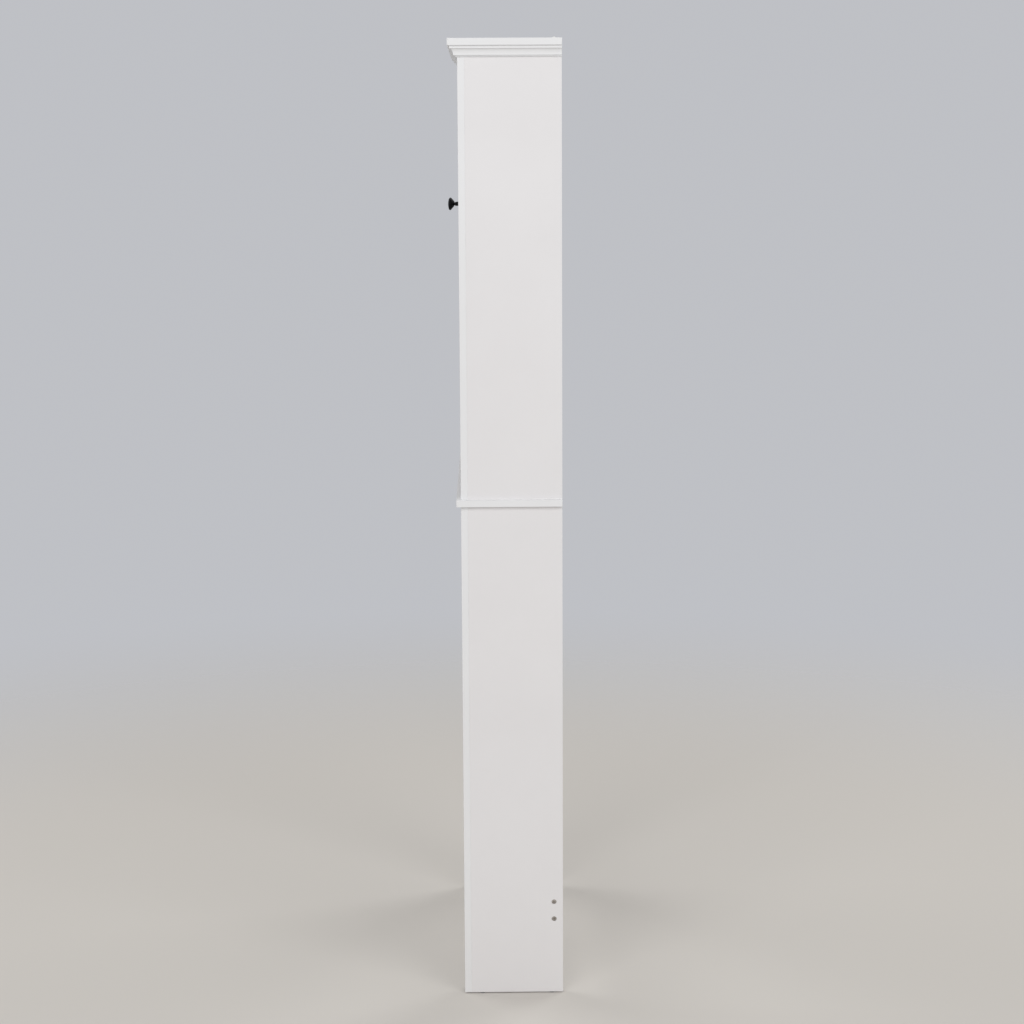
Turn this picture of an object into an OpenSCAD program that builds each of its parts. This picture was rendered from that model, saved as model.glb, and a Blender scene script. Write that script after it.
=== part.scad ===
// Over-the-toilet storage cabinet: two leg frames, a waist board, an open shelf and a
// two-door cupboard under a crown. Millimetres, +Z up, the front faces -Y, the floor is z = 0.

/* [Cabinet] */
// Width over the two sides
cabinet_w = 600; // [540:10:760]
// Depth from the face of the front frame to the back edge
cabinet_d = 178; // [165:1:260]
// Height from the floor to the top of the crown
cabinet_h = 1700; // [1640:10:1900]
// Thickness of the side panels, shelves and rails
board_t = 12; // [12:1:16]

/* [Legs] */
// Height from the floor to the underside of the waist board
waist_z = 896; // [780:2:920]
// Thickness of the glides under the legs
glide_t = 2; // [1.5:0.5:5]
// Diameter of the glides
glide_dia = 11; // [9:0.5:12]
// Distance of the glides from the front and back ends of a leg panel
glide_inset = 20; // [12:1:40]
// Height of the apron under the waist board
apron_h = 60; // [56:1:80]
// Rise of the arch cut into the lower edge of the apron
apron_arch = 18; // [8:1:24]
// Length of the straight stretch at each end of the apron
apron_end = 40; // [30:1:60]

/* [Waist board] */
// Thickness of the waist board
waist_t = 12; // [12:1:18]
// Overhang of the waist board past the front and the sides
waist_over = 8; // [5:0.5:14]
// Rounding of the edges of the waist board
waist_round = 0.5; // [0.5:0.5:5]

/* [Front frame] */
// Thickness of the stiles and rails of the front frame
frame_t = 12; // [12:1:16]
// Width of the stiles
stile_w = 30; // [28:1:45]
// Height of the top and middle rails
rail_h = 30; // [30:1:45]
// Height of the opening behind the doors
door_opening_h = 447; // [400:1:470]

/* [Crown] */
// Overhang of the cap past the front and the sides
crown_over = 17; // [15:0.5:24]
// Thickness of the cap
cap_t = 12; // [10:1:18]
// Rounding of the edges of the cap
cap_round = 0.5; // [0.5:0.5:4]
// Height of the moulding under the cap
crown_h = 19; // [17:0.5:24]
// Thickness of the moulding behind the face of the cabinet
moulding_t = 12; // [10:0.5:12]
// Projection of the fillet at the foot of the moulding
fillet_out = 2; // [1:0.5:4]
// Height of that fillet
fillet_h = 2.5; // [1.5:0.5:4]
// Projection of the cove at its foot
cove_foot = 6.4; // [4.5:0.1:7]
// Projection of the cove at its top
cove_top = 10.3; // [8:0.1:11]
// Projection of the bead over the cove
bead_out = 13; // [11.5:0.1:14]
// Height of the bead
bead_h = 5; // [3:0.2:6]
// Radius of the edges of the bead
bead_round = 0.7; // [0.4:0.1:1.4]
// Width of the cleats inside the crown
cleat_w = 20; // [16:1:30]
// Thickness of the strip that closes the crown at the back
crown_strip_t = 12; // [9:0.5:14]

/* [Back] */
// Thickness of the back panel
back_t = 3; // [2.5:0.5:5]
// Width of the rebate in the side panels that takes the back panel
rebate_w = 7; // [5.5:0.5:8]
// Height of the hanging rail behind the back edge of the top panel
hang_rail_h = 60; // [50:1:90]
// Distance between the two wall screw holes
wall_hole_gap = 400; // [200:10:460]
// Diameter of the wall screw holes
wall_hole_dia = 5; // [4:0.5:7]

/* [Stretcher] */
// Height of the stretcher between the legs
stretcher_h = 64; // [56:1:100]
// Height of the middle of the stretcher above the floor
stretcher_z = 156; // [80:2:300]
// Distance of the stretcher from the back edge
stretcher_in = 10; // [4:1:30]
// Distance between the two bolts at each end
bolt_gap = 32; // [20:1:36]
// Diameter of the bolt shanks
bolt_dia = 6; // [5:0.5:6]
// Diameter of the bolt heads
bolt_head_dia = 9; // [8:0.5:11]
// Thickness of the bolt heads
bolt_head_t = 3; // [2:0.25:4]
// Depth of the bolt heads below the face of the leg
bolt_sunk = 1.5; // [0.5:0.25:3]
// Length of the bolt shanks
bolt_len = 38; // [34:1:50]
// Diameter of the barrel nuts
barrel_dia = 8; // [8:0.5:10]

/* [Doors] */
// Thickness of the door frames
door_t = 15; // [15:0.5:18]
// Gap round and between the doors
door_gap = 2; // [1.5:0.25:3]
// Width of the door stiles
door_stile_w = 45; // [36:1:60]
// Height of the door rails
door_rail_h = 45; // [36:1:70]
// Thickness of the door panels and of the groove that holds them
door_panel_t = 5; // [4:0.5:6]
// Depth of the groove in the door frame
groove_deep = 6; // [5:0.5:9]
// Clearance of a door panel at the bottom of its groove
panel_clear = 0.5; // [0.3:0.1:1]

/* [Pivots] */
// Distance of a door pivot from the frame stile
pivot_in = 12; // [12:0.5:14]
// Distance of a door pivot behind the face of the door
pivot_back = 6; // [5.5:0.25:6]
// Diameter of the pivot pins
pin_dia = 4; // [3:0.25:4]
// Length of a pivot pin inside the door
pin_in_door = 20; // [12:1:30]
// Radial clearance of a pivot pin in its bush
pin_clear = 0.2; // [0.1:0.05:0.3]
// Diameter of a pivot bush
bush_dia = 7; // [6:0.25:7]
// Depth of a pivot bush in its rail
bush_deep = 8; // [6:0.5:9]
// Diameter of the flange of a bush
flange_dia = 10; // [9:0.5:10.5]
// Clearance between a bush flange and the door
flange_clear = 0.3; // [0.2:0.05:0.5]

/* [Knobs] */
// Projection of a knob from the door
knob_out = 22; // [18:0.5:30]
// Diameter of the head of a knob
knob_dia = 22; // [18:0.5:28]
// Diameter of the stem of a knob
stem_dia = 6.6; // [5.5:0.1:9]
// Diameter of the foot of a knob
foot_dia = 11; // [9:0.5:14]
// Thickness of the foot of a knob
foot_t = 1.8; // [1:0.2:3]
// Distance of the back of the head from the door
neck_out = 10.8; // [10:0.2:12]
// Radius of the groove turned round the neck behind the head
neck_groove = 1.1; // [0.6:0.1:1.3]
// Radius of the rim of the head
rim_r = 2.6; // [1.5:0.1:3]
// Distance of the middle of the rim behind the front of the knob
rim_back = 3.8; // [3.5:0.1:6]
// Diameter of the knob screws
knob_screw_dia = 4; // [3:0.5:4]
// Reach of a knob screw into its knob
knob_screw_in = 8; // [6:0.5:8]
// Diameter of the head of a knob screw
knob_screw_head = 7.5; // [7:0.5:9]
// Thickness of the head of a knob screw
knob_screw_head_t = 2.4; // [1.5:0.1:3]

/* [Catch] */
// Width of the double magnetic catch
catch_w = 46; // [44:1:60]
// Height of the catch
catch_h = 13; // [12:0.5:16]
// Depth of the catch
catch_d = 17; // [15:0.5:22]
// Thickness of the strike plates on the doors
strike_t = 1; // [0.8:0.1:1.5]
// Width of the strike plates
strike_w = 16; // [14:0.5:18]
// Gap between a magnet and its strike plate
magnet_gap = 0.4; // [0.3:0.1:0.8]
// Height of the stop block over the catch
block_h = 18; // [12:0.5:18]

/* [Shelf] */
// Distance of the first shelf pin hole above the cupboard floor
first_hole = 96; // [64:1:120]
// Number of shelf pin holes in a row
hole_count = 9; // [5:1:10]
// Distance between shelf pin holes
hole_pitch = 32; // [20:1:32]
// The hole, from the lowest, that the shelf pins are in
shelf_hole = 5; // [1:1:5]
// Diameter of the shelf pins
shelf_pin_dia = 5; // [4:0.5:6]
// Distance of the front row of holes behind the front frame
hole_front_in = 40; // [32:1:48]
// Distance of the rear row of holes in front of the back panel
hole_rear_in = 52; // [34:1:56]
// Depth of the shelf pin holes
shelf_pin_deep = 8; // [6:0.5:9]
// Distance of the adjustable shelf behind the front frame
shelf_set_back = 18; // [16:1:30]
// Clearance at the ends of the adjustable shelf
shelf_end_clear = 1; // [0.5:0.1:2]

/* [Fasteners] */
// Diameter of the cam locks
cam_dia = 12; // [10:0.5:12]
// Wood left under a cam lock
cam_floor = 2.5; // [2:0.25:3]
// Distance of a cam lock from the end of its board
cam_back = 24; // [20:1:30]
// Distance of the front cams behind the front frame
cam_front_in = 32; // [26:1:45]
// Distance of the rear cams in front of the back panel
cam_rear_in = 40; // [30:1:50]
// Diameter of the cam bolts
cam_bolt_dia = 4; // [3:0.5:4]
// Diameter of the ball at the end of a cam bolt
cam_ball_dia = 5; // [4.5:0.25:5.5]
// Diameter of the bore that a cam bolt runs in
cam_bore_dia = 6; // [6:0.25:6.5]
// Diameter of a cam bolt's thread
cam_thread_dia = 5; // [4:0.25:5]
// Depth of a cam bolt's thread
cam_thread = 8; // [6:0.5:9]
// Diameter of the dowels
dowel_dia = 6; // [5:0.5:6]
// Depth of a dowel in each edge it enters
dowel_deep = 14; // [10:1:14]
// Diameter of the wood screws of the crown
screw_dia = 3.5; // [3:0.25:4]
// Diameter of the heads of those screws
screw_head_dia = 7; // [6:0.25:8]
// Diameter of the covers over the cap screws
cover_dia = 7; // [6.8:0.1:9]
// Height of those covers
cover_h = 2.8; // [2.4:0.1:4]
// Distance of the cap screws from the back edge
cap_screw_in = 13; // [10:1:25]
// Diameter of the heads of the back panel nails
nail_head_dia = 3; // [2.5:0.25:3.5]

/* [Hidden] */
$fn = 48;
eps = 0.01;
over = 1;
white = [0.93, 0.93, 0.92];
ply = [0.86, 0.85, 0.82];
zinc = [0.72, 0.73, 0.74];
black = [0.08, 0.08, 0.09];
beech = [0.80, 0.66, 0.47];

half_w = cabinet_w / 2;
side_in = half_w - board_t;
side_mid = half_w - board_t / 2;
open_half = half_w - stile_w;
front_y = (knob_out - cabinet_d) / 2;
back_y = front_y + cabinet_d;
panel_y = front_y + frame_t;
frame_mid_y = front_y + frame_t / 2;
inner_back_y = back_y - back_t;
waist_top = waist_z + waist_t;
crown_z = cabinet_h - cap_t - crown_h;
cap_z = cabinet_h - cap_t;
opening_top = crown_z - rail_h;
opening_z = opening_top - door_opening_h;
shelf_z = opening_z - board_t;
top_panel_z = crown_z - board_t;
hang_rail_z = top_panel_z - hang_rail_h;

// Doors: the right one is modelled and the left one is its mirror image
door_w = open_half - 1.5 * door_gap;
door_x = door_gap / 2;
door_z = opening_z + door_gap;
door_h = door_opening_h - 2 * door_gap;
pivot_x = open_half - pivot_in;
pivot_y = front_y + pivot_back;
knob_x = door_x + door_stile_w / 2;
knob_z = door_z + door_h / 2;
knob_screw_gap = 1;
panel_front = (door_t - door_panel_t) / 2;
edge_ease = 1.5;
bush_floor = 1;
pin_end_clear = 1;

// Cove of the crown: an arc that starts upright at its foot and runs out to its top
cove_run = cove_top - cove_foot;
cove_h = crown_h - bead_h - fillet_h;
cove_r = (cove_h * cove_h + cove_run * cove_run) / (2 * cove_run);

// Places along the depth that carry fasteners
near_y = panel_y + cam_front_in;
far_y = inner_back_y - cam_rear_in;
cam_ys = [near_y, far_y];
pin_hole_ys = [panel_y + hole_front_in, inner_back_y - hole_rear_in];
hang_rail_y = inner_back_y - board_t / 2;
hang_rail_mid = hang_rail_z + hang_rail_h / 2;
pin_hole_zs = [for (k = [0:hole_count - 1]) opening_z + first_hole + k * hole_pitch];
cam_slot_len = 6.5;
cam_slot_w = 1.2;
cam_slot_deep = 1.6;
shelf_pad_t = 2;
shelf_pad = 9;
shelf_peg_step = 1.2;
shelf_pin_z = opening_z + first_hole + (shelf_hole - 1) * hole_pitch;
stretcher_mid_y = back_y - stretcher_in - board_t / 2;
bolt_zs = [stretcher_z - bolt_gap / 2, stretcher_z + bolt_gap / 2];
bolt_seat_x = half_w - bolt_sunk - bolt_head_t;
bolt_socket_dia = 4.2;
bolt_socket_floor = 0.75;
bolt_past_nut = 6;
barrel_x = bolt_seat_x - bolt_len + bolt_past_nut;
barrel_clear = 0.5;
apron_z = waist_z - apron_h;
apron_dowel_in = 12;
apron_dowel_zs = [apron_z + apron_dowel_in, waist_z - apron_dowel_in];
apron_cam_z = waist_z - apron_h / 2;
rail_dowel_offsets = [6.5, 16.5];
dowel_rows = 4;
leg_dowel_zs = [for (k = [1:dowel_rows]) glide_t + k * (waist_z - glide_t) / (dowel_rows + 1)];
stile_dowel_zs = [for (k = [1:dowel_rows]) waist_top + k * (crown_z - waist_top) / (dowel_rows + 1)];
stile_dowel_floor = 4;
stile_dowel_deep = frame_t - stile_dowel_floor;
crown_screw_in = 24;
crown_screw_ys = [near_y + crown_screw_in, far_y - crown_screw_in];
crown_screw_x = half_w - moulding_t - cleat_w / 2;
crown_screw_bite = 8;
catch_screw_bite = 12;
catch_screw_dia = 3;
catch_head_dia = 5.5;
catch_screw_in = 4;
catch_screw_back = 5;
cap_screw_y = back_y - cap_screw_in;
cap_screw_x = half_w - moulding_t / 2;
cap_screw_len = 28;
cap_head_dia = 5.6;
cap_head_t = 1.8;
catch_front_y = front_y + door_t + strike_t + magnet_gap;
catch_top = opening_top;
catch_z = catch_top - catch_h;
magnet_w = 10;
magnet_d = 8;
magnet_h = 8;
magnet_low = 2;
case_back = 1;
block_past = 7;
block_d = 26;
strike_in = 3;
strike_drop = 1;
magnet_x = door_x + strike_in + strike_w / 2;
strike_h = catch_h - door_gap - strike_drop;
strike_z = door_z + door_h - strike_h - strike_drop;
strike_mid_z = strike_z + strike_h / 2;
strike_screw_dia = 2.5;
strike_screw_len = 9;
nail_len = 14;
nail_dia = 1.3;
nail_head_t = 0.9;
nail_first = 30;
nail_last = 20;
nail_gaps = 5;
nail_rise = (crown_z - waist_top - nail_first - nail_last) / nail_gaps;
side_nail_zs = [for (k = [0:nail_gaps]) waist_top + nail_first + k * nail_rise];
shelf_nail_xs = [for (k = [-1.5:1:1.5]) k * side_in / 2];
back_panel_clear = 0.5;
barrel_floor = 1.5;

// Basic shapes

// A board between two opposite corners
module board(lo, hi) {
  translate(lo)
    cube(hi - lo);
}

// A rod from a point along +X, +Y or +Z
module rod_x(at, dia, len) {
  translate(at)
    rotate([0, 90, 0])
      cylinder(d = dia, h = len);
}
module rod_y(at, dia, len) {
  translate(at)
    rotate([-90, 0, 0])
      cylinder(d = dia, h = len);
}
module rod_z(at, dia, len) {
  translate(at)
    cylinder(d = dia, h = len);
}

// The children and their mirror image on the left
module both_sides() {
  children();
  mirror([1, 0, 0])
    children();
}
module left_side() {
  mirror([1, 0, 0])
    children();
}

// Section of a board with one rounded edge at 0
module nosed_section(depth, thick, r) {
  translate([r, 0])
    square([depth - r, thick]);
  translate([0, r])
    square([depth, thick - 2 * r]);
  for (v = [r, thick - r])
    translate([r, v])
      circle(r);
}

// A board that overhangs the front and both sides, with rounded edges there
module overhanging_board(z, thick, reach, r) {
  w = cabinet_w + 2 * reach;
  d = cabinet_d + reach;
  intersection() {
    translate([-w / 2, front_y - reach, z])
      rotate([90, 0, 90])
        linear_extrude(w)
          nosed_section(d, thick, r);
    translate([0, back_y, z])
      rotate([90, 0, 0])
        linear_extrude(d)
          union() {
            for (m = [0, 1])
              mirror([m, 0])
                translate([-w / 2, 0])
                  nosed_section(w / 2 + over, thick, r);
          }
  }
}

// Fasteners, each given by its place and used both for the piece and for its hole

// Cam bores and bolts in the right end of a board between the sides, cams open downwards
module end_cam_bores(y, z_mid, end_x) {
  rod_z([end_x - cam_back, y, z_mid - board_t / 2 - over], cam_dia, board_t - cam_floor + over);
  rod_x([end_x - cam_back, y, z_mid], cam_bore_dia, cam_back + over);
}

// Cam lock with its axis up and its open face at z = 0, entered from +X
module cam_lock() {
  deep = board_t - cam_floor;
  slot = [cam_slot_len, cam_slot_w, cam_slot_deep];
  difference() {
    cylinder(d = cam_dia, h = deep);
    rod_x([-cam_ball_dia / 2, 0, board_t / 2], cam_bore_dia, cam_dia);
    for (turn = [0, 90])
      rotate([0, 0, turn])
        translate([-slot[0] / 2, -slot[1] / 2, -eps])
          cube(slot);
  }
}

// Half section of a bolt's ball end, with the ball's centre at a height
module ball_section(at) {
  translate([0, at])
    intersection() {
      circle(d = cam_ball_dia);
      translate([0, -cam_ball_dia])
        square([cam_ball_dia, 2 * cam_ball_dia]);
    }
}

// Cam bolt along +X: ball at 0, shank, then the thread beyond cam_back
module cam_bolt() {
  rotate([0, 90, 0])
    rotate_extrude() {
      ball_section(0);
      square([cam_bolt_dia / 2, cam_back]);
      translate([0, cam_back])
        square([cam_thread_dia / 2, cam_thread]);
    }
}

// Places of the cam bolts that tie boards to the right side panel: y and z of each
shelf_cams = [for (y = cam_ys) [y, shelf_z + board_t / 2]];
top_cams = [for (y = cam_ys) [y, top_panel_z + board_t / 2]];
flat_cams = concat(shelf_cams, top_cams);

// Thread holes of the cam bolts in the right side panel
module side_thread_holes() {
  for (c = flat_cams)
    rod_x([side_in - eps, c[0], c[1]], cam_thread_dia, cam_thread + eps);
  rod_x([side_in - eps, hang_rail_y, hang_rail_mid], cam_thread_dia, cam_thread + eps);
}

// Dowels that run from the front frame back into a side or leg panel, on the right
module stile_dowels(zs) {
  for (z = zs)
    rod_y([side_mid, panel_y - stile_dowel_deep, z], dowel_dia, stile_dowel_deep + dowel_deep);
}

// Dowels between a rail of the front frame and the right stile
module rail_dowels(zs) {
  for (z = zs)
    rod_x([open_half - dowel_deep, frame_mid_y, z], dowel_dia, 2 * dowel_deep);
}
top_rail_dowel_zs = [for (k = rail_dowel_offsets) crown_z - k];
mid_rail_dowel_zs = [for (k = rail_dowel_offsets) opening_z - rail_h + k];

// Bolts that tie a leg, the waist board and a side panel together, on the right
module joining_bores(z_cam, z_end) {
  for (y = cam_ys) {
    rod_x([side_in - over, y, z_cam], cam_dia, board_t - cam_floor + over);
    rod_z([side_mid, y, min(z_cam, z_end)], cam_bore_dia, abs(z_cam - z_end) + over);
  }
}

// Shelf pin holes in the right side panel
module shelf_pin_holes() {
  for (y = pin_hole_ys, z = pin_hole_zs)
    rod_x([side_in - over, y, z], shelf_pin_dia, shelf_pin_deep + over);
}

// Wall screw holes, through the hanging rail and the back panel
module wall_holes() {
  for (s = [-1, 1])
    rod_y([s * wall_hole_gap / 2, back_y - back_t - board_t - over, hang_rail_mid],
      wall_hole_dia, back_t + board_t + 2 * over);
}

// Nail places in the back panel: x and z of each
nail_places = concat(
  [for (s = [-1, 1], z = side_nail_zs) [s * (side_in + rebate_w / 2), z]],
  [for (x = shelf_nail_xs, z = [shelf_z + board_t / 2, top_panel_z + board_t / 2]) [x, z]]
);
module nail(at) {
  rod_y([at[0], back_y - nail_len, at[1]], nail_dia, nail_len);
  rod_y([at[0], back_y - nail_head_t, at[1]], nail_head_dia, nail_head_t);
}
module nails() {
  for (at = nail_places)
    nail(at);
}

// Countersunk screw pointing up from a face at z = 0; its hole has a run below that face
module flat_screw(len, dia, head_dia, run) {
  head_h = (head_dia - dia) / 2;
  cylinder(d1 = head_dia, d2 = dia, h = head_h);
  cylinder(d = dia, h = len);
  if (run > 0)
    translate([0, 0, -run])
      cylinder(d = head_dia, h = run + eps);
}
crown_screw_len = board_t + crown_h + crown_screw_bite;
module crown_screw_set(run) {
  both_sides()
    for (y = crown_screw_ys)
      translate([crown_screw_x, y, top_panel_z])
        flat_screw(crown_screw_len, screw_dia, screw_head_dia, run);
}
module cap_screw_shanks(grow) {
  both_sides()
    rod_z([cap_screw_x, cap_screw_y, cabinet_h - cap_screw_len], screw_dia, cap_screw_len + grow);
}

// Lower stand

module leg_panel() {
  color(white)
    difference() {
      board([side_in, panel_y, glide_t], [half_w, back_y, waist_z]);
      stile_dowels(leg_dowel_zs);
      joining_bores(waist_z - cam_back, waist_z);
      stretcher_bolt_holes();
      glide_nail_holes();
    }
}
module right_leg_panel() leg_panel();
module left_leg_panel() left_side() leg_panel();

module leg_stile() {
  color(white)
    difference() {
      board([open_half, front_y, glide_t], [half_w, panel_y, waist_z]);
      stile_dowels(leg_dowel_zs);
      rail_dowels(apron_dowel_zs);
      rod_x([open_half - eps, frame_mid_y, apron_cam_z], cam_thread_dia, cam_thread + eps);
    }
}
module right_leg_stile() leg_stile();
module left_leg_stile() left_side() leg_stile();

// Apron with a flat arch: one circle through the ends and the crown of the arch
module front_apron() {
  half_span = open_half - apron_end;
  arch_r = (half_span * half_span + apron_arch * apron_arch) / (2 * apron_arch);
  color(white)
    difference() {
      board([-open_half, front_y, apron_z], [open_half, panel_y, waist_z]);
      translate([0, panel_y + over, apron_z + apron_arch - arch_r])
        rotate([90, 0, 0])
          cylinder(r = arch_r, h = frame_t + 2 * over, $fn = 360);
      both_sides()
        rail_dowels(apron_dowel_zs);
      both_sides()
        apron_cam_bores();
    }
}
module apron_cam_bores() {
  rod_y([open_half - cam_back, panel_y - (frame_t - cam_floor), apron_cam_z], cam_dia, frame_t);
  rod_x([open_half - cam_back, frame_mid_y, apron_cam_z], cam_bore_dia, cam_back + over);
}

module rear_stretcher() {
  y = stretcher_mid_y - board_t / 2;
  half_h = stretcher_h / 2;
  color(white)
    difference() {
      board([-side_in, y, stretcher_z - half_h], [side_in, y + board_t, stretcher_z + half_h]);
      both_sides()
        stretcher_bolt_holes();
      both_sides()
        for (z = bolt_zs)
          rod_y([barrel_x, y - over, z], barrel_dia, board_t - barrel_floor + over);
    }
}

module stretcher_bolt_holes() {
  for (z = bolt_zs) {
    rod_x([bolt_seat_x - bolt_len, stretcher_mid_y, z], bolt_dia, bolt_len + eps);
    rod_x([bolt_seat_x, stretcher_mid_y, z], bolt_head_dia, bolt_head_t + bolt_sunk + over);
  }
}

// Bolts with a hexagon socket in a sunk flat head
module stretcher_bolts() {
  color(zinc)
    both_sides()
      for (z = bolt_zs)
        difference() {
          union() {
            rod_x([bolt_seat_x - bolt_len, stretcher_mid_y, z], bolt_dia, bolt_len + eps);
            rod_x([bolt_seat_x, stretcher_mid_y, z], bolt_head_dia, bolt_head_t);
          }
          translate([bolt_seat_x + bolt_socket_floor, stretcher_mid_y, z])
            rotate([0, 90, 0])
              cylinder(d = bolt_socket_dia, h = bolt_head_t, $fn = 6);
        }
}

module barrel_nuts() {
  y = stretcher_mid_y - board_t / 2;
  color(zinc)
    both_sides()
      for (z = bolt_zs)
        difference() {
          rod_y([barrel_x, y + barrel_clear, z], barrel_dia, board_t - barrel_floor - barrel_clear);
          rod_x([barrel_x - barrel_dia, stretcher_mid_y, z], bolt_dia, 2 * barrel_dia);
        }
}

glide_ys = [panel_y + glide_inset, back_y - glide_inset];
glide_nail_dia = 2;
glide_nail_len = 12;
glide_chamfer = 1;
module glide_nail_holes() {
  for (y = glide_ys)
    rod_z([side_mid, y, glide_t - eps], glide_nail_dia, glide_nail_len);
}
module foot_glides() {
  color([0.30, 0.30, 0.31])
    both_sides()
      for (y = glide_ys) {
        translate([side_mid, y, 0])
          cylinder(d1 = glide_dia - 2 * glide_chamfer, d2 = glide_dia, h = glide_chamfer);
        rod_z([side_mid, y, glide_chamfer], glide_dia, glide_t - glide_chamfer);
        rod_z([side_mid, y, glide_chamfer], glide_nail_dia, glide_t - glide_chamfer + glide_nail_len - eps);
      }
}

module waist_board() {
  color(white)
    difference() {
      overhanging_board(waist_z, waist_t, waist_over, waist_round);
      both_sides()
        for (y = cam_ys)
          rod_z([side_mid, y, waist_z - over], cam_bore_dia, waist_t + 2 * over);
    }
}

// Bolts through the waist board: a collar in the board and a ball in a cam at each end
module joining_bolts() {
  color(zinc)
    both_sides()
      for (y = cam_ys)
        translate([side_mid, y, waist_z])
          rotate_extrude() {
            ball_section(-cam_back);
            ball_section(waist_t + cam_back);
            translate([0, -cam_back])
              square([cam_bolt_dia / 2, waist_t + 2 * cam_back]);
            square([cam_bore_dia / 2, waist_t]);
          }
}

// Cupboard case

module side_panel() {
  color(white)
    difference() {
      board([side_in, panel_y, waist_top], [half_w, back_y, crown_z]);
      board(
        [side_in - over, back_y - back_t, waist_top - over],
        [side_in + rebate_w, back_y + over, crown_z + over]
      );
      stile_dowels(stile_dowel_zs);
      joining_bores(waist_top + cam_back, waist_top - over);
      side_thread_holes();
      shelf_pin_holes();
      nails();
    }
}
module right_side_panel() side_panel();
module left_side_panel() left_side() side_panel();

module stile() {
  color(white)
    difference() {
      board([open_half, front_y, waist_top], [half_w, panel_y, crown_z]);
      stile_dowels(stile_dowel_zs);
      rail_dowels(top_rail_dowel_zs);
      rail_dowels(mid_rail_dowel_zs);
    }
}
module right_stile() stile();
module left_stile() left_side() stile();

module top_rail() {
  color(white)
    difference() {
      board([-open_half, front_y, opening_top], [open_half, panel_y, crown_z]);
      both_sides()
        rail_dowels(top_rail_dowel_zs);
      both_sides()
        rod_z([pivot_x, pivot_y, opening_top - over], bush_dia, bush_deep + over);
    }
}

module mid_rail() {
  color(white)
    difference() {
      board([-open_half, front_y, opening_z - rail_h], [open_half, panel_y, opening_z]);
      both_sides()
        rail_dowels(mid_rail_dowel_zs);
      both_sides()
        rod_z([pivot_x, pivot_y, opening_z - bush_deep], bush_dia, bush_deep + over);
    }
}

module fixed_shelf() {
  color(white)
    difference() {
      board([-side_in, panel_y, shelf_z], [side_in, inner_back_y, opening_z]);
      both_sides()
        for (c = shelf_cams)
          end_cam_bores(c[0], c[1], side_in);
      nails();
    }
}

module top_panel() {
  color(white)
    difference() {
      board([-side_in, panel_y, top_panel_z], [side_in, inner_back_y, crown_z]);
      both_sides()
        for (c = top_cams)
          end_cam_bores(c[0], c[1], side_in);
      crown_screw_set(over);
      nails();
    }
}

module back_panel() {
  half = side_in + rebate_w - back_panel_clear;
  color(ply)
    difference() {
      board([-half, inner_back_y, waist_top], [half, back_y, crown_z]);
      wall_holes();
      nails();
    }
}

module hanging_rail() {
  color(white)
    difference() {
      board([-side_in, inner_back_y - board_t, hang_rail_z], [side_in, inner_back_y, top_panel_z]);
      wall_holes();
      both_sides()
        hang_rail_cam_bores();
    }
}
module hang_rail_cam_bores() {
  x = side_in - cam_back;
  rod_y([x, inner_back_y - board_t - over, hang_rail_mid], cam_dia, board_t - cam_floor + over);
  rod_x([x, hang_rail_y, hang_rail_mid], cam_bore_dia, cam_back + over);
}

module back_nails() {
  color(zinc)
    nails();
}

module cam_locks() {
  color(zinc)
    both_sides() {
      for (c = flat_cams)
        translate([side_in - cam_back, c[0], c[1] - board_t / 2])
          cam_lock();
      translate([side_in - cam_back, inner_back_y - board_t, hang_rail_mid])
        rotate([-90, 0, 0])
          cam_lock();
      translate([open_half - cam_back, panel_y, apron_cam_z])
        rotate([90, 0, 0])
          cam_lock();
      for (y = cam_ys) {
        translate([side_in, y, waist_z - cam_back])
          rotate([0, 90, 0])
            rotate([0, 0, 180])
              cam_lock();
        translate([side_in, y, waist_top + cam_back])
          rotate([0, 90, 0])
            cam_lock();
      }
    }
}

module cam_bolts() {
  color(zinc)
    both_sides() {
      for (c = flat_cams)
        translate([side_in - cam_back, c[0], c[1]])
          cam_bolt();
      translate([side_in - cam_back, hang_rail_y, hang_rail_mid])
        cam_bolt();
      translate([open_half - cam_back, frame_mid_y, apron_cam_z])
        cam_bolt();
    }
}

module frame_dowels() {
  color(beech)
    both_sides() {
      stile_dowels(leg_dowel_zs);
      stile_dowels(stile_dowel_zs);
      rail_dowels(apron_dowel_zs);
      rail_dowels(top_rail_dowel_zs);
      rail_dowels(mid_rail_dowel_zs);
    }
}

// Crown

// Section of the moulding: x is the projection from the face, y the height
module crown_section() {
  bead_z = crown_h - bead_h;
  translate([-moulding_t, 0])
    square([moulding_t + fillet_out, crown_h]);
  difference() {
    translate([-moulding_t, fillet_h])
      square([moulding_t + cove_top, cove_h]);
    translate([cove_foot + cove_r, fillet_h])
      circle(cove_r, $fn = 96);
  }
  translate([-moulding_t, bead_z])
    square([moulding_t + bead_out - bead_round, bead_h]);
  translate([0, bead_z + bead_round])
    square([bead_out, bead_h - 2 * bead_round]);
  for (v = [bead_z + bead_round, crown_h - bead_round])
    translate([bead_out - bead_round, v])
      circle(bead_round);
}

// The front moulding, mitred at both ends
module crown_front() {
  far = crown_over + over;
  color(white)
    intersection() {
      translate([-half_w - far, front_y, crown_z])
        mirror([0, 1, 0])
          rotate([90, 0, 90])
            linear_extrude(cabinet_w + 2 * far)
              crown_section();
      translate([0, 0, crown_z - over])
        linear_extrude(crown_h + 2 * over)
          polygon([
            [-half_w - far, front_y - far],
            [half_w + far, front_y - far],
            [half_w - moulding_t, front_y + moulding_t],
            [-half_w + moulding_t, front_y + moulding_t]
          ]);
    }
}

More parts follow.
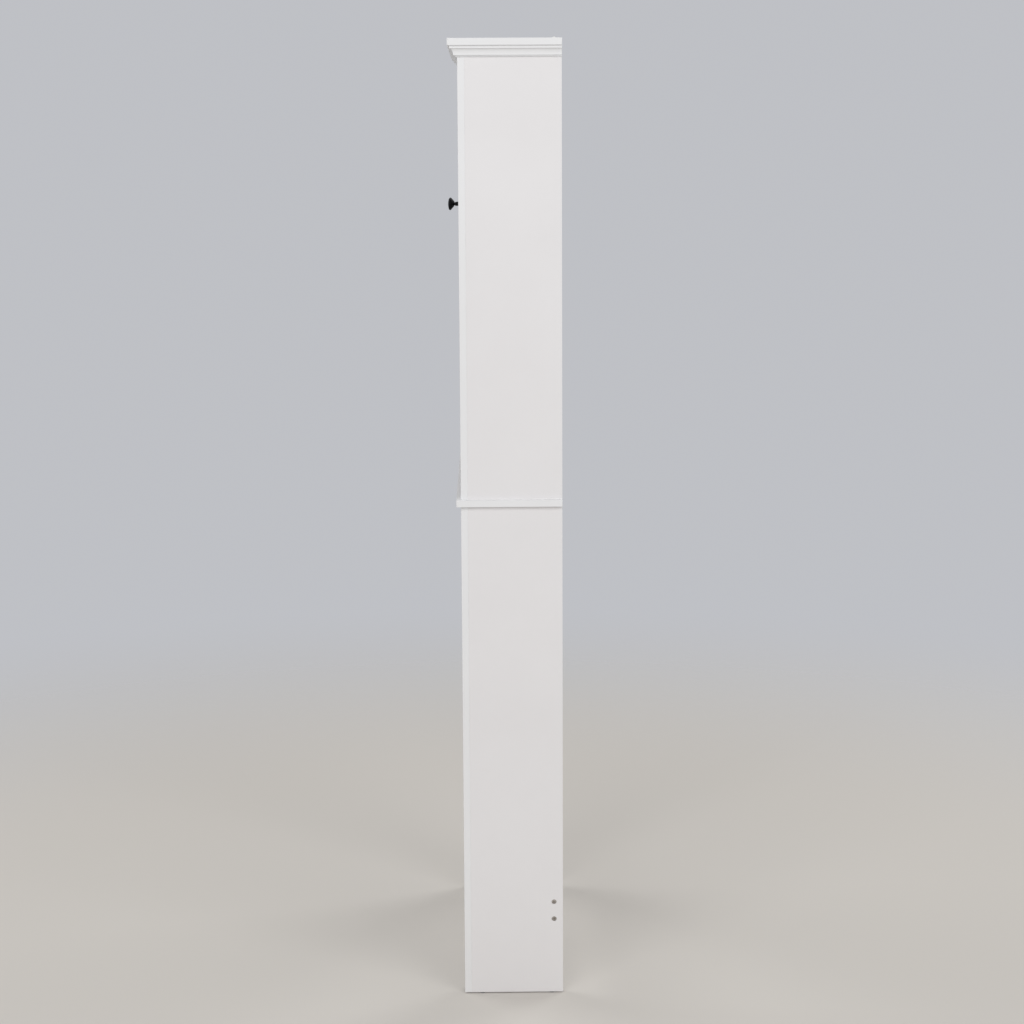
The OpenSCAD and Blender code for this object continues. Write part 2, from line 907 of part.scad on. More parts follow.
// The right moulding: mitred at the front, square at the back
module crown_side() {
  far = crown_over + over;
  color(white)
    difference() {
      intersection() {
        translate([half_w, back_y, crown_z])
          rotate([90, 0, 0])
            linear_extrude(cabinet_d + far)
              crown_section();
        translate([0, 0, crown_z - over])
          linear_extrude(crown_h + 2 * over)
            polygon([
              [half_w - moulding_t, front_y + moulding_t],
              [half_w + far, front_y - far],
              [half_w + far, back_y],
              [half_w - moulding_t, back_y]
            ]);
      }
      cap_screw_shanks(0);
    }
}
module crown_right() crown_side();
module crown_left() left_side() crown_side();

module crown_back_strip() {
  half = half_w - moulding_t;
  color(white)
    board([-half, back_y - crown_strip_t, crown_z], [half, back_y, cap_z]);
}

module crown_cleats() {
  inner = half_w - moulding_t - cleat_w;
  color(beech)
    difference() {
      both_sides()
        board([inner, front_y + moulding_t, crown_z], [inner + cleat_w, back_y - crown_strip_t, cap_z]);
      crown_screw_set(0);
    }
}

module crown_cap() {
  color(white)
    difference() {
      overhanging_board(cap_z, cap_t, crown_over, cap_round);
      crown_screw_set(0);
      cap_screw_shanks(over);
    }
}

module crown_screws() {
  color(zinc)
    crown_screw_set(0);
}

module cap_screws() {
  color(zinc) {
    cap_screw_shanks(eps);
    both_sides()
      rod_z([cap_screw_x, cap_screw_y, cabinet_h], cap_head_dia, cap_head_t);
  }
}

// Domed covers over the heads of the cap screws
module screw_covers() {
  rim_h = cap_head_t;
  dome_h = cover_h - rim_h;
  ball_r = (cover_dia * cover_dia / 4 + dome_h * dome_h) / (2 * dome_h);
  color(white)
    both_sides()
      translate([cap_screw_x, cap_screw_y, cabinet_h])
        difference() {
          intersection() {
            cylinder(d = cover_dia, h = cover_h + over);
            translate([0, 0, cover_h - ball_r])
              sphere(r = ball_r);
          }
          translate([0, 0, -over])
            cylinder(d = cap_head_dia, h = cap_head_t + over);
        }
}

// Cupboard fittings

module adjustable_shelf() {
  z = shelf_pin_z + shelf_pad_t;
  half = side_in - shelf_end_clear;
  color(white)
    board([-half, panel_y + shelf_set_back, z], [half, inner_back_y - shelf_end_clear, z + board_t]);
}

// Shelf pins: a peg in the side and a flat pad under the shelf
module shelf_pins() {
  color(zinc)
    both_sides()
      for (y = pin_hole_ys) {
        rod_x([side_in - shelf_pad, y, shelf_pin_z], shelf_pin_dia - shelf_peg_step, shelf_pad);
        rod_x([side_in, y, shelf_pin_z], shelf_pin_dia, shelf_pin_deep);
        board(
          [side_in - shelf_pad, y - shelf_pad / 2, shelf_pin_z],
          [side_in, y + shelf_pad / 2, shelf_pin_z + shelf_pad_t]
        );
      }
}

// Block that the catch is screwed to, behind the top rail
module stop_block() {
  color(white)
    difference() {
      board(
        [-catch_w / 2 - block_past, panel_y, top_panel_z - block_h],
        [catch_w / 2 + block_past, panel_y + block_d, top_panel_z]
      );
      catch_screw_set(0);
    }
}

module catch_case() {
  color(white)
    difference() {
      board(
        [-catch_w / 2, catch_front_y + case_back, catch_z],
        [catch_w / 2, catch_front_y + catch_d, top_panel_z - block_h]
      );
      both_sides()
        magnet();
      catch_screw_set(over);
    }
}

module magnet() {
  board(
    [magnet_x - magnet_w / 2, catch_front_y, catch_z + magnet_low],
    [magnet_x + magnet_w / 2, catch_front_y + magnet_d, catch_z + magnet_low + magnet_h]
  );
}
module catch_magnets() {
  color(zinc)
    both_sides()
      magnet();
}

module catch_screw_set(run) {
  for (s = [-1, 1])
    translate([s * (catch_w / 2 - catch_screw_in), catch_front_y + catch_d - catch_screw_back, catch_z])
      flat_screw(catch_h + catch_screw_bite, catch_screw_dia, catch_head_dia, run);
}
module catch_screws() {
  color(zinc)
    catch_screw_set(0);
}

// Flanged bushes in the rails: bottom ones face up, top ones face down
module pivot_bushes() {
  flange_t = door_gap - flange_clear;
  color([0.85, 0.85, 0.83])
    both_sides()
      for (turn = [0, 1])
        translate([pivot_x, pivot_y, turn == 0 ? opening_z : opening_top])
          mirror([0, 0, turn])
            difference() {
              union() {
                translate([0, 0, -bush_deep])
                  cylinder(d = bush_dia, h = bush_deep + eps);
                cylinder(d = flange_dia, h = flange_t);
              }
              translate([0, 0, -bush_deep + bush_floor])
                cylinder(d = pin_dia + 2 * pin_clear, h = bush_deep + door_gap);
            }
}

// Doors

// Pin in one end of a door, from its end face into the door and out to the bush
module door_pins(grow) {
  reach = bush_deep - bush_floor - pin_end_clear;
  for (turn = [0, 1])
    translate([pivot_x, pivot_y, turn == 0 ? door_z : door_z + door_h])
      mirror([0, 0, turn])
        translate([0, 0, -door_gap - reach - grow])
          cylinder(d = pin_dia, h = pin_in_door + door_gap + reach + grow);
}

// A door stile: a post with eased outer edges and the groove for the panel in its inner edge
module door_stile(outer_x, inner_x) {
  lo = min(outer_x, inner_x);
  hi = max(outer_x, inner_x);
  step = inner_x > outer_x ? 1 : -1;
  groove_x = inner_x - step * groove_deep;
  difference() {
    board([lo, front_y, door_z], [hi, front_y + door_t, door_z + door_h]);
    ease_edge([outer_x, front_y, door_z - over], step, door_h + 2 * over);
    board(
      [min(groove_x, inner_x + step), front_y + panel_front, door_z - over],
      [max(groove_x, inner_x + step), front_y + panel_front + door_panel_t, door_z + door_h + over]
    );
  }
}

// What a round easing takes off a front corner that runs up from a point
module ease_edge(at, step, len) {
  translate(at)
    difference() {
      translate([step > 0 ? -over : -edge_ease, -over, 0])
        cube([edge_ease + over, edge_ease + over, len]);
      translate([step * edge_ease, edge_ease, -over])
        cylinder(r = edge_ease, h = len + 2 * over);
    }
}

module hinge_stile() {
  outer = door_x + door_w;
  color(white)
    difference() {
      door_stile(outer, outer - door_stile_w);
      door_pins(0);
    }
}

module lock_stile() {
  color(white)
    difference() {
      door_stile(door_x, door_x + door_stile_w);
      rod_y([knob_x, front_y - over, knob_z], knob_screw_dia, door_t + 2 * over);
      strike_screw(over);
    }
}

// A door rail between the stiles, with a tongue at each end and a groove for the panel
module door_rail(z, groove_up) {
  lo = door_x + door_stile_w;
  hi = door_x + door_w - door_stile_w;
  tongue = groove_deep - panel_clear;
  groove_z = groove_up ? z + door_rail_h - groove_deep : z - over;
  color(white)
    difference() {
      union() {
        board([lo, front_y, z], [hi, front_y + door_t, z + door_rail_h]);
        board(
          [lo - tongue, front_y + panel_front, z],
          [hi + tongue, front_y + panel_front + door_panel_t, z + door_rail_h]
        );
      }
      board(
        [lo - door_stile_w, front_y + panel_front, groove_z],
        [hi + door_stile_w, front_y + panel_front + door_panel_t, groove_z + groove_deep + over]
      );
    }
}
module door_bottom_rail() door_rail(door_z, true);
module door_top_rail() door_rail(door_z + door_h - door_rail_h, false);

module door_panel() {
  tuck = groove_deep - panel_clear;
  lo = [door_x + door_stile_w - tuck, front_y + panel_front, door_z + door_rail_h - tuck];
  hi = [
    door_x + door_w - door_stile_w + tuck,
    front_y + panel_front + door_panel_t,
    door_z + door_h - door_rail_h + tuck
  ];
  color(white)
    board(lo, hi);
}

// Knob: a turned foot, a stem with a necked end and a bowl-shaped head with a round rim and a
// low dome
module knob() {
  difference() {
    translate([knob_x, front_y, knob_z])
      rotate([90, 0, 0])
        rotate_extrude()
          knob_section();
    rod_y([knob_x, front_y - knob_screw_in, knob_z], knob_screw_dia, knob_out);
  }
}

// Half section of the knob: x is the radius, y the distance from the door.
// The dome is the circle through the crown of the knob that touches the rim's circle inside.
module knob_section() {
  stem_r = stem_dia / 2;
  rim_x = knob_dia / 2 - rim_r;
  rim_y = knob_out - rim_back;
  dome_r = (rim_x * rim_x + rim_back * rim_back - rim_r * rim_r) / (2 * (rim_back - rim_r));
  touch_x = rim_x * dome_r / (dome_r - rim_r);
  square([foot_dia / 2, foot_t]);
  difference() {
    square([stem_r, rim_y]);
    translate([stem_r, neck_out - neck_groove])
      circle(neck_groove);
  }
  polygon([
    [0, neck_out],
    [stem_r + 1, neck_out],
    [rim_x + rim_r * cos(45), rim_y - rim_r * sin(45)],
    [rim_x, rim_y],
    [0, rim_y]
  ]);
  translate([rim_x, rim_y])
    circle(rim_r);
  intersection() {
    translate([0, knob_out - dome_r])
      circle(dome_r, $fn = 96);
    translate([0, rim_y])
      square([touch_x, rim_back]);
  }
}

module knob_screw() {
  knob_screw_run = knob_screw_in - knob_screw_gap + door_t + eps;
  color(zinc) {
    rod_y([knob_x, front_y - knob_screw_in + knob_screw_gap, knob_z], knob_screw_dia, knob_screw_run);
    rod_y([knob_x, front_y + door_t, knob_z], knob_screw_head, knob_screw_head_t);
  }
}

module strike_screw(run) {
  y = front_y + door_t - strike_screw_len;
  rod_y([magnet_x, y, strike_mid_z], strike_screw_dia, strike_screw_len + run);
}
module strike_plate() {
  color(zinc) {
    board(
      [magnet_x - strike_w / 2, front_y + door_t, strike_z],
      [magnet_x + strike_w / 2, front_y + door_t + strike_t, strike_z + strike_h]
    );
    strike_screw(eps);
  }
}

module pivot_pins() color(zinc) door_pins(0);

module right_hinge_stile() hinge_stile();
module right_lock_stile() lock_stile();
module right_door_top_rail() door_top_rail();
module right_door_bottom_rail() door_bottom_rail();
module right_door_panel() door_panel();
module right_pivot_pins() pivot_pins();
module right_knob() color(black) knob();
module right_knob_screw() knob_screw();
module right_strike_plate() strike_plate();
module left_hinge_stile() left_side() hinge_stile();
module left_lock_stile() left_side() lock_stile();
module left_door_top_rail() left_side() door_top_rail();
module left_door_bottom_rail() left_side() door_bottom_rail();
module left_door_panel() left_side() door_panel();
module left_pivot_pins() left_side() pivot_pins();
module left_knob() color(black) left_side() knob();
module left_knob_screw() left_side() knob_screw();
module left_strike_plate() left_side() strike_plate();

left_leg_panel();
right_leg_panel();
left_leg_stile();
right_leg_stile();
front_apron();
rear_stretcher();
stretcher_bolts();
barrel_nuts();
foot_glides();
waist_board();
left_side_panel();
right_side_panel();
left_stile();
right_stile();
top_rail();
mid_rail();
fixed_shelf();
top_panel();
back_panel();
hanging_rail();
crown_cap();
crown_front();
crown_left();
crown_right();
crown_back_strip();
crown_cleats();
crown_screws();
cap_screws();
screw_covers();
adjustable_shelf();
shelf_pins();
cam_locks();
cam_bolts();
joining_bolts();
frame_dowels();
stop_block();
catch_case();
catch_magnets();
catch_screws();
back_nails();
pivot_bushes();
left_hinge_stile();
left_lock_stile();
left_door_top_rail();
left_door_bottom_rail();
left_door_panel();
left_pivot_pins();
left_knob();
left_knob_screw();
left_strike_plate();
right_hinge_stile();
right_lock_stile();
right_door_top_rail();
right_door_bottom_rail();
right_door_panel();
right_pivot_pins();
right_knob();
right_knob_screw();
right_strike_plate();
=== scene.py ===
import math
import bmesh
import bpy
import numpy as np
from mathutils import Matrix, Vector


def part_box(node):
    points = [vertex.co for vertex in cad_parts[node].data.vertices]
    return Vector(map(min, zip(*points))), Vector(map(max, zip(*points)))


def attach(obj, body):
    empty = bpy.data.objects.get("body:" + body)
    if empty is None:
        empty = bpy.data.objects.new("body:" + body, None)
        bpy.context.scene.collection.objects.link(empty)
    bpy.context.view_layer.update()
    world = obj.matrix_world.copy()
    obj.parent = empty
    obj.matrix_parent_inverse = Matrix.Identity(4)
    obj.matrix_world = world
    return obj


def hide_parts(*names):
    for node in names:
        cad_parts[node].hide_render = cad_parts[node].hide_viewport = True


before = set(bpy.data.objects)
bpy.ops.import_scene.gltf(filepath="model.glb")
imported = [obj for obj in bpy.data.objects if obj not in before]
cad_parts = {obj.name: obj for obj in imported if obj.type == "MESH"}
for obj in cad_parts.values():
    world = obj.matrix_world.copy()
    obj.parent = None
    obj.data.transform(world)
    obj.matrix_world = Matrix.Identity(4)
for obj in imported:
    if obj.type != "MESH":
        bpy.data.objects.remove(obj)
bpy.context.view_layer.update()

mm = 0.001  # pieces are sized in millimetres, and the scene is in metres
print("frame:", len(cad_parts), "nodes")

# Camera, solved from the edges of the cabinet in the photograph: metres and degrees
camera = {
    "place": (4.1344, -0.0315, 1.5072),
    "yaw": 0.6433,  # off the -X axis, towards +Y
    "pitch": 9.2035,  # downwards
    "roll": -0.2936,
    "focalPixels": 2213.9,
    "imagePixels": 1024,
    "sensor": 36.0,  # millimetres
    "clipEnd": 60.0,
}


def linked(name, data):
    # a new object at the origin, in the scene
    thing = bpy.data.objects.new(name, data)
    bpy.context.scene.collection.objects.link(thing)
    return thing


def turnTo(thing, place, axes):
    # its own X, Y and Z lie along the three axes
    turn = Matrix([[axis[k] for axis in axes] for k in range(3)]).to_4x4()
    turn.translation = place
    thing.matrix_world = turn


def makeCamera(spec):
    # side = forward x Z and top = side x forward; the roll turns them about forward into
    # right = cos roll * side + sin roll * top and up = cos roll * top - sin roll * side
    yaw, pitch, roll = (math.radians(spec[key]) for key in ("yaw", "pitch", "roll"))
    forward = np.array([
        -math.cos(pitch) * math.cos(yaw),
        math.cos(pitch) * math.sin(yaw),
        -math.sin(pitch),
    ])
    side = np.cross(forward, (0.0, 0.0, 1.0))
    side /= np.linalg.norm(side)
    top = np.cross(side, forward)
    right = math.cos(roll) * side + math.sin(roll) * top
    up = math.cos(roll) * top - math.sin(roll) * side
    data = bpy.data.cameras.new("camera")
    data.sensor_width = spec["sensor"]
    data.lens = spec["focalPixels"] * spec["sensor"] / spec["imagePixels"]
    data.clip_end = spec["clipEnd"]
    view = linked("camera", data)
    turnTo(view, spec["place"], (right, up, -forward))
    bpy.context.scene.camera = view


makeCamera(camera)
print("camera ready")

# Materials: one function for each finish, on Object coordinates. A Scale is features per metre, a
# Range is the part of a noise that is drawn out over the whole change, and a Bump is its strength
# and its depth in metres.


def freshMaterial(name):
    material = bpy.data.materials.new(name)
    material.use_nodes = True
    tree = material.node_tree
    return material, tree, tree.nodes["Principled BSDF"]


def objectPoint(tree):
    return tree.nodes.new("ShaderNodeTexCoord").outputs["Object"]


def stretched(tree, vector, scale):
    node = tree.nodes.new("ShaderNodeMapping")
    node.inputs["Scale"].default_value = scale
    tree.links.new(vector, node.inputs["Vector"])
    return node.outputs["Vector"]


def noise(tree, vector, scale, detail=2.0, roughness=0.5):
    node = tree.nodes.new("ShaderNodeTexNoise")
    node.inputs["Scale"].default_value = scale
    node.inputs["Detail"].default_value = detail
    node.inputs["Roughness"].default_value = roughness
    tree.links.new(vector, node.inputs["Vector"])
    return node.outputs["Fac"]


def ranged(tree, value, taken, given=(0.0, 1.0)):
    # the taken range of a value becomes the given one, and what lies past it stays at its ends
    node = tree.nodes.new("ShaderNodeMapRange")
    node.inputs["From Min"].default_value = taken[0]
    node.inputs["From Max"].default_value = taken[1]
    node.inputs["To Min"].default_value = given[0]
    node.inputs["To Max"].default_value = given[1]
    tree.links.new(value, node.inputs["Value"])
    return node.outputs["Result"]


def blended(tree, factor, first, second):
    # sockets 6 and 7 of a Mix node hold its two colours, and the mixed colour leaves by socket 2
    node = tree.nodes.new("ShaderNodeMix")
    node.data_type = "RGBA"
    tree.links.new(factor, node.inputs["Factor"])
    node.inputs[6].default_value = (*first, 1.0)
    node.inputs[7].default_value = (*second, 1.0)
    return node.outputs[2]


def bumped(tree, height, bump, below=None):
    node = tree.nodes.new("ShaderNodeBump")
    node.inputs["Strength"].default_value = bump[0]
    node.inputs["Distance"].default_value = bump[1]
    tree.links.new(height, node.inputs["Height"])
    if below is not None:
        tree.links.new(below, node.inputs["Normal"])
    return node.outputs["Normal"]


paint = {
    "colour": (0.830, 0.830, 0.840),
    "duller": (0.812, 0.811, 0.818),
    "patchScale": 5.0,
    "patchRange": (0.35, 0.65),
    "roughness": (0.50, 0.60),
    "glossScale": 15.0,
    "glossRange": (0.3, 0.7),
    "specular": 0.25,
    "waveScale": 14.0,
    "waveBump": (0.05, 0.002),
    "peelScale": 420.0,  # spray texture, features of 2 to 3 mm
    "peelBump": (0.05, 0.0004),
}
# The side boards took the same paint a shade duller and warmer than the frame did
boardPaint = {**paint, "colour": (0.812, 0.797, 0.803), "duller": (0.794, 0.778, 0.783)}


def satinPaint(name, spec):
    # sprayed satin paint: faint cloudiness, uneven gloss, and spray texture over slow waves
    material, tree, shader = freshMaterial(name)
    point = objectPoint(tree)
    patch = ranged(tree, noise(tree, point, spec["patchScale"], detail=4.0), spec["patchRange"])
    colour = blended(tree, patch, spec["colour"], spec["duller"])
    tree.links.new(colour, shader.inputs["Base Color"])
    gloss = noise(tree, point, spec["glossScale"], detail=3.0)
    roughness = ranged(tree, gloss, spec["glossRange"], spec["roughness"])
    tree.links.new(roughness, shader.inputs["Roughness"])
    shader.inputs["Specular IOR Level"].default_value = spec["specular"]
    wave = bumped(tree, noise(tree, point, spec["waveScale"], detail=1.0), spec["waveBump"])
    peel = bumped(tree, noise(tree, point, spec["peelScale"]), spec["peelBump"], wave)
    tree.links.new(peel, shader.inputs["Normal"])
    return material


foil = {
    "colour": (0.760, 0.752, 0.730),
    "fleck": (0.700, 0.690, 0.660),
    "fibreScale": 900.0,
    "fibreStretch": (1.0, 1.0, 0.35),
    "fleckRange": (0.45, 0.75),
    "feltBump": (0.12, 0.0003),
    "roughness": 0.55,
}


def foiledHardboard(name, spec):
    # thin white foil on pressed fibre: fine pressed-through flecks and a felted bump
    material, tree, shader = freshMaterial(name)
    point = stretched(tree, objectPoint(tree), spec["fibreStretch"])
    fibre = noise(tree, point, spec["fibreScale"], detail=4.0, roughness=0.6)
    fleck = ranged(tree, fibre, spec["fleckRange"])
    colour = blended(tree, fleck, spec["colour"], spec["fleck"])
    tree.links.new(colour, shader.inputs["Base Color"])
    shader.inputs["Roughness"].default_value = spec["roughness"]
    tree.links.new(bumped(tree, fibre, spec["feltBump"]), shader.inputs["Normal"])
    return material


beech = {
    "pale": (0.66, 0.49, 0.31),
    "dark": (0.52, 0.35, 0.20),
    "grainScale": 260.0,
    "grainStretch": (0.12, 1.0, 1.0),
    "grainBump": (0.2, 0.0002),
    "roughness": 0.6,
}


def bareBeech(name, spec):
    # straight grain drawn out along X, as the dowels of the rails lie: pale wood with dark flecks
    material, tree, shader = freshMaterial(name)
    point = stretched(tree, objectPoint(tree), spec["grainStretch"])
    grain = noise(tree, point, spec["grainScale"], detail=5.0, roughness=0.6)
    tree.links.new(blended(tree, grain, spec["pale"], spec["dark"]), shader.inputs["Base Color"])
    shader.inputs["Roughness"].default_value = spec["roughness"]
    tree.links.new(bumped(tree, grain, spec["grainBump"]), shader.inputs["Normal"])
    return material


enamel = {
    "colour": (0.004, 0.004, 0.005),
    "worn": (0.012, 0.011, 0.010),
    "patchScale": 180.0,
    "wornRange": (0.55, 0.85),
    "roughness": (0.34, 0.48),
    "glossRange": (0.3, 0.7),
    "specular": 0.10,
    "peelScale": 1500.0,
    "peelBump": (0.1, 0.0002),
}


def blackEnamel(name, spec):
    # baked satin enamel on a casting: low gloss over a fine peel
    material, tree, shader = freshMaterial(name)
    point = objectPoint(tree)
    patch = noise(tree, point, spec["patchScale"], detail=3.0)
    worn = ranged(tree, patch, spec["wornRange"])
    tree.links.new(blended(tree, worn, spec["colour"], spec["worn"]), shader.inputs["Base Color"])
    roughness = ranged(tree, patch, spec["glossRange"], spec["roughness"])
    tree.links.new(roughness, shader.inputs["Roughness"])
    shader.inputs["Specular IOR Level"].default_value = spec["specular"]
    peel = noise(tree, point, spec["peelScale"])
    tree.links.new(bumped(tree, peel, spec["peelBump"]), shader.inputs["Normal"])
    return material


zinc = {
    "bright": (0.56, 0.57, 0.58),
    "dull": (0.42, 0.42, 0.41),
    "cloudScale": 160.0,
    "cloudRange": (0.35, 0.65),
    "roughness": (0.40, 0.56),
    "glossRange": (0.3, 0.7),
    "markScale": 2500.0,
    "markBump": (0.08, 0.0001),
}
bronzed = {
    **zinc,
    "bright": (0.56, 0.53, 0.50),
    "dull": (0.38, 0.35, 0.32),
    "roughness": (0.26, 0.42),
}


def platedSteel(name, spec):
    # thin plating on steel: cloudy colour and gloss over fine tool marks
    material, tree, shader = freshMaterial(name)
    point = objectPoint(tree)
    cloud = noise(tree, point, spec["cloudScale"], detail=4.0)
    colour = blended(tree, ranged(tree, cloud, spec["cloudRange"]), spec["bright"], spec["dull"])
    tree.links.new(colour, shader.inputs["Base Color"])
    shader.inputs["Metallic"].default_value = 1.0
    roughness = ranged(tree, cloud, spec["glossRange"], spec["roughness"])
    tree.links.new(roughness, shader.inputs["Roughness"])
    mark = noise(tree, point, spec["markScale"])
    tree.links.new(bumped(tree, mark, spec["markBump"]), shader.inputs["Normal"])
    return material


ferrite = {
    "colour": (0.060, 0.060, 0.064),
    "dust": (0.110, 0.108, 0.105),
    "gritScale": 1800.0,
    "gritBump": (0.25, 0.0002),
    "roughness": 0.7,
}


def bareFerrite(name, spec):
    # ground ceramic magnet with pale dust in its pores
    material, tree, shader = freshMaterial(name)
    grit = noise(tree, objectPoint(tree), spec["gritScale"], detail=4.0, roughness=0.7)
    tree.links.new(blended(tree, grit, spec["colour"], spec["dust"]), shader.inputs["Base Color"])
    shader.inputs["Roughness"].default_value = spec["roughness"]
    tree.links.new(bumped(tree, grit, spec["gritBump"]), shader.inputs["Normal"])
    return material


whitePlastic = {
    "colour": (0.80, 0.80, 0.785),
    "tint": (0.77, 0.765, 0.745),
    "cloudScale": 120.0,
    "pitScale": 2200.0,
    "pitBump": (0.08, 0.0001),
    "roughness": 0.28,
}
glidePlastic = {
    **whitePlastic,
    "colour": (0.085, 0.085, 0.090),
    "tint": (0.120, 0.118, 0.115),
    "roughness": 0.55,
}


def mouldedPlastic(name, spec):
    # spark-eroded mould skin: fine even pits, slight cloudiness from use
    material, tree, shader = freshMaterial(name)
    point = objectPoint(tree)
    cloud = noise(tree, point, spec["cloudScale"], detail=3.0)
    tree.links.new(blended(tree, cloud, spec["colour"], spec["tint"]), shader.inputs["Base Color"])
    shader.inputs["Roughness"].default_value = spec["roughness"]
    pit = noise(tree, point, spec["pitScale"])
    tree.links.new(bumped(tree, pit, spec["pitBump"]), shader.inputs["Normal"])
    return material


finishes = {
    "white_paint": satinPaint("whitePaint", paint),
    "hardboard": foiledHardboard("foiledHardboard", foil),
    "beech": bareBeech("bareBeech", beech),
    "black_enamel": blackEnamel("blackEnamel", enamel),
    "zinc_steel": platedSteel("zincPlate", zinc),
    "magnet": bareFerrite("bareFerrite", ferrite),
    "white_plastic": mouldedPlastic("whitePlastic", whitePlastic),
    "glide_plastic": mouldedPlastic("glidePlastic", glidePlastic),
}
bronzedSteel = platedSteel("bronzedSteel", bronzed)
paintedBoard = satinPaint("paintedBoard", boardPaint)
print("finishes ready:", len(finishes) + 2)

# Surface builders. Each gives points in millimetres, quads and end caps.


def ringQuads(rows, columns):
    # quads between rows of points, where the last column meets the first
    i, j = np.meshgrid(np.arange(rows - 1), np.arange(columns), indexing="ij")
    k = (j + 1) % columns
    corners = [i * columns + j, i * columns + k, (i + 1) * columns + k, (i + 1) * columns + j]
    return np.stack(corners, axis=-1).reshape(-1, 4)


def endCaps(rows, columns, step=1):
    # the first and the last row as faces, by one point in each step
    ends = np.arange(0, columns, step)
    return [ends[::-1].tolist(), (ends + (rows - 1) * columns).tolist()]


def stacked(*values):
    # values side by side, each spread over the shape that they share
    return np.stack(np.broadcast_arrays(*values), axis=-1)


def axesOf(along):
    # the sign of an axis such as "-x", the indices of the two axes across it, and its own index
    c = "xyz".index(along[-1])
    sign = -1.0 if along.startswith("-") else 1.0
    return sign, (c + 1) % 3, (c + 2) % 3, c


def quarterTurn(steps):
    return np.linspace(0.0, math.pi / 2, steps + 1)


def halfTurn(steps):
    # two quarter turns, from -90 to 0 and from 0 to 90 degrees
    return np.concatenate([quarterTurn(steps) - math.pi / 2, quarterTurn(steps)])


def cornerTurns(steps):
    # a quarter turn at each corner of a rectangle, and the signs of the corners
    angle = np.concatenate([quarterTurn(steps) + k * math.pi / 2 for k in range(4)])
    signA = np.repeat([1.0, -1.0, -1.0, 1.0], steps + 1)
    signB = np.repeat([1.0, 1.0, -1.0, -1.0], steps + 1)
    return angle, signA, signB


def easedBoard(low, high, along, eases, endEase, steps=3):
    # a sphere's grid of latitude and longitude, pulled apart at its middle planes to the corners of
    # the board: corner + ease * (cos lat cos lon, cos lat sin lon) across it and corner + endEase *
    # sin lat along it. The four eases go round the axis, which is right back, left back, left
    # front, right front along z, and back top, front top, front bottom, back bottom along x.
    a, b, c = axesOf(along)[1:]
    longitude, signA, signB = cornerTurns(steps)
    signC = np.repeat([-1.0, 1.0], steps + 1)[:, None]
    ease = np.repeat(eases, steps + 1)
    middle = (low + high) / 2
    half = (high - low) / 2
    lat, lon = np.meshgrid(halfTurn(steps), longitude, indexing="ij")
    points = np.zeros(lat.shape + (3,))
    points[..., a] = middle[a] + signA * (half[a] - ease) + ease * np.cos(lat) * np.cos(lon)
    points[..., b] = middle[b] + signB * (half[b] - ease) + ease * np.cos(lat) * np.sin(lon)
    points[..., c] = middle[c] + signC * (half[c] - endEase) + endEase * np.sin(lat)
    rows, columns = lat.shape
    return points.reshape(-1, 3), ringQuads(rows, columns), endCaps(rows, columns, steps + 1)


def turned(profile, centre, along, columns):
    # a profile of (distance along the axis, radius) turned about it: radius * (cos t, sin t) across
    # the axis. A row of radius 0 is a pole.
    profile = np.asarray(profile, float)
    sign, a, b, c = axesOf(along)
    angle = np.linspace(0.0, 2 * math.pi, columns, endpoint=False)
    points = np.zeros((len(profile), columns, 3))
    points[..., a] = centre[a] + profile[:, 1:2] * np.cos(angle)
    points[..., b] = centre[b] + sign * profile[:, 1:2] * np.sin(angle)
    points[..., c] = centre[c] + sign * profile[:, 0:1]
    return points.reshape(-1, 3), ringQuads(len(profile), columns), []


def cornerRings(rings, centre, along, steps=8):
    # rings of (distance along the axis, core a, core b, radius): each point is a corner of the core
    # rectangle plus radius * (cos t, sin t), so that a core of nothing makes a circle
    sign, a, b, c = axesOf(along)
    angle, signA, signB = cornerTurns(steps)
    points = np.zeros((len(rings), len(angle), 3))
    points[..., a] = centre[a] + rings[:, 1:2] * signA + rings[:, 3:4] * np.cos(angle)
    points[..., b] = centre[b] + sign * (rings[:, 2:3] * signB + rings[:, 3:4] * np.sin(angle))
    points[..., c] = centre[c] + sign * rings[:, 0:1]
    rows, columns = points.shape[:2]
    return points.reshape(-1, 3), ringQuads(rows, columns), endCaps(rows, columns)


def carried(section, origins, outs):
    # a closed section of (out, up) carried along a path: origin + out * direction + up * z
    origins = np.asarray(origins, float)
    outs = np.asarray(outs, float)
    points = origins[:, None, :] + section[None, :, 0:1] * outs[:, None, :]
    points[..., 2] += section[None, :, 1]
    rows, columns = points.shape[:2]
    return points.reshape(-1, 3), ringQuads(rows, columns), endCaps(rows, columns)


mergeDistance = 1e-6  # metres
sharpAngle = math.radians(38)


def mergedMesh(name, points, faces, closed=True):
    # doubled points merged; the faces of a closed shell are pointed outwards
    data = bpy.data.meshes.new(name)
    data.from_pydata((points * mm).tolist(), [], faces)
    shell = bmesh.new()
    shell.from_mesh(data)
    bmesh.ops.remove_doubles(shell, verts=shell.verts, dist=mergeDistance)
    if closed:
        bmesh.ops.recalc_face_normals(shell, faces=shell.faces)
    shell.to_mesh(data)
    shell.free()
    return data


def weightNormals(piece):
    # the shading follows the larger faces, so a flat stays flat beside its eased edge
    weights = piece.modifiers.new("weightedNormals", "WEIGHTED_NORMAL")
    weights.keep_sharp = True


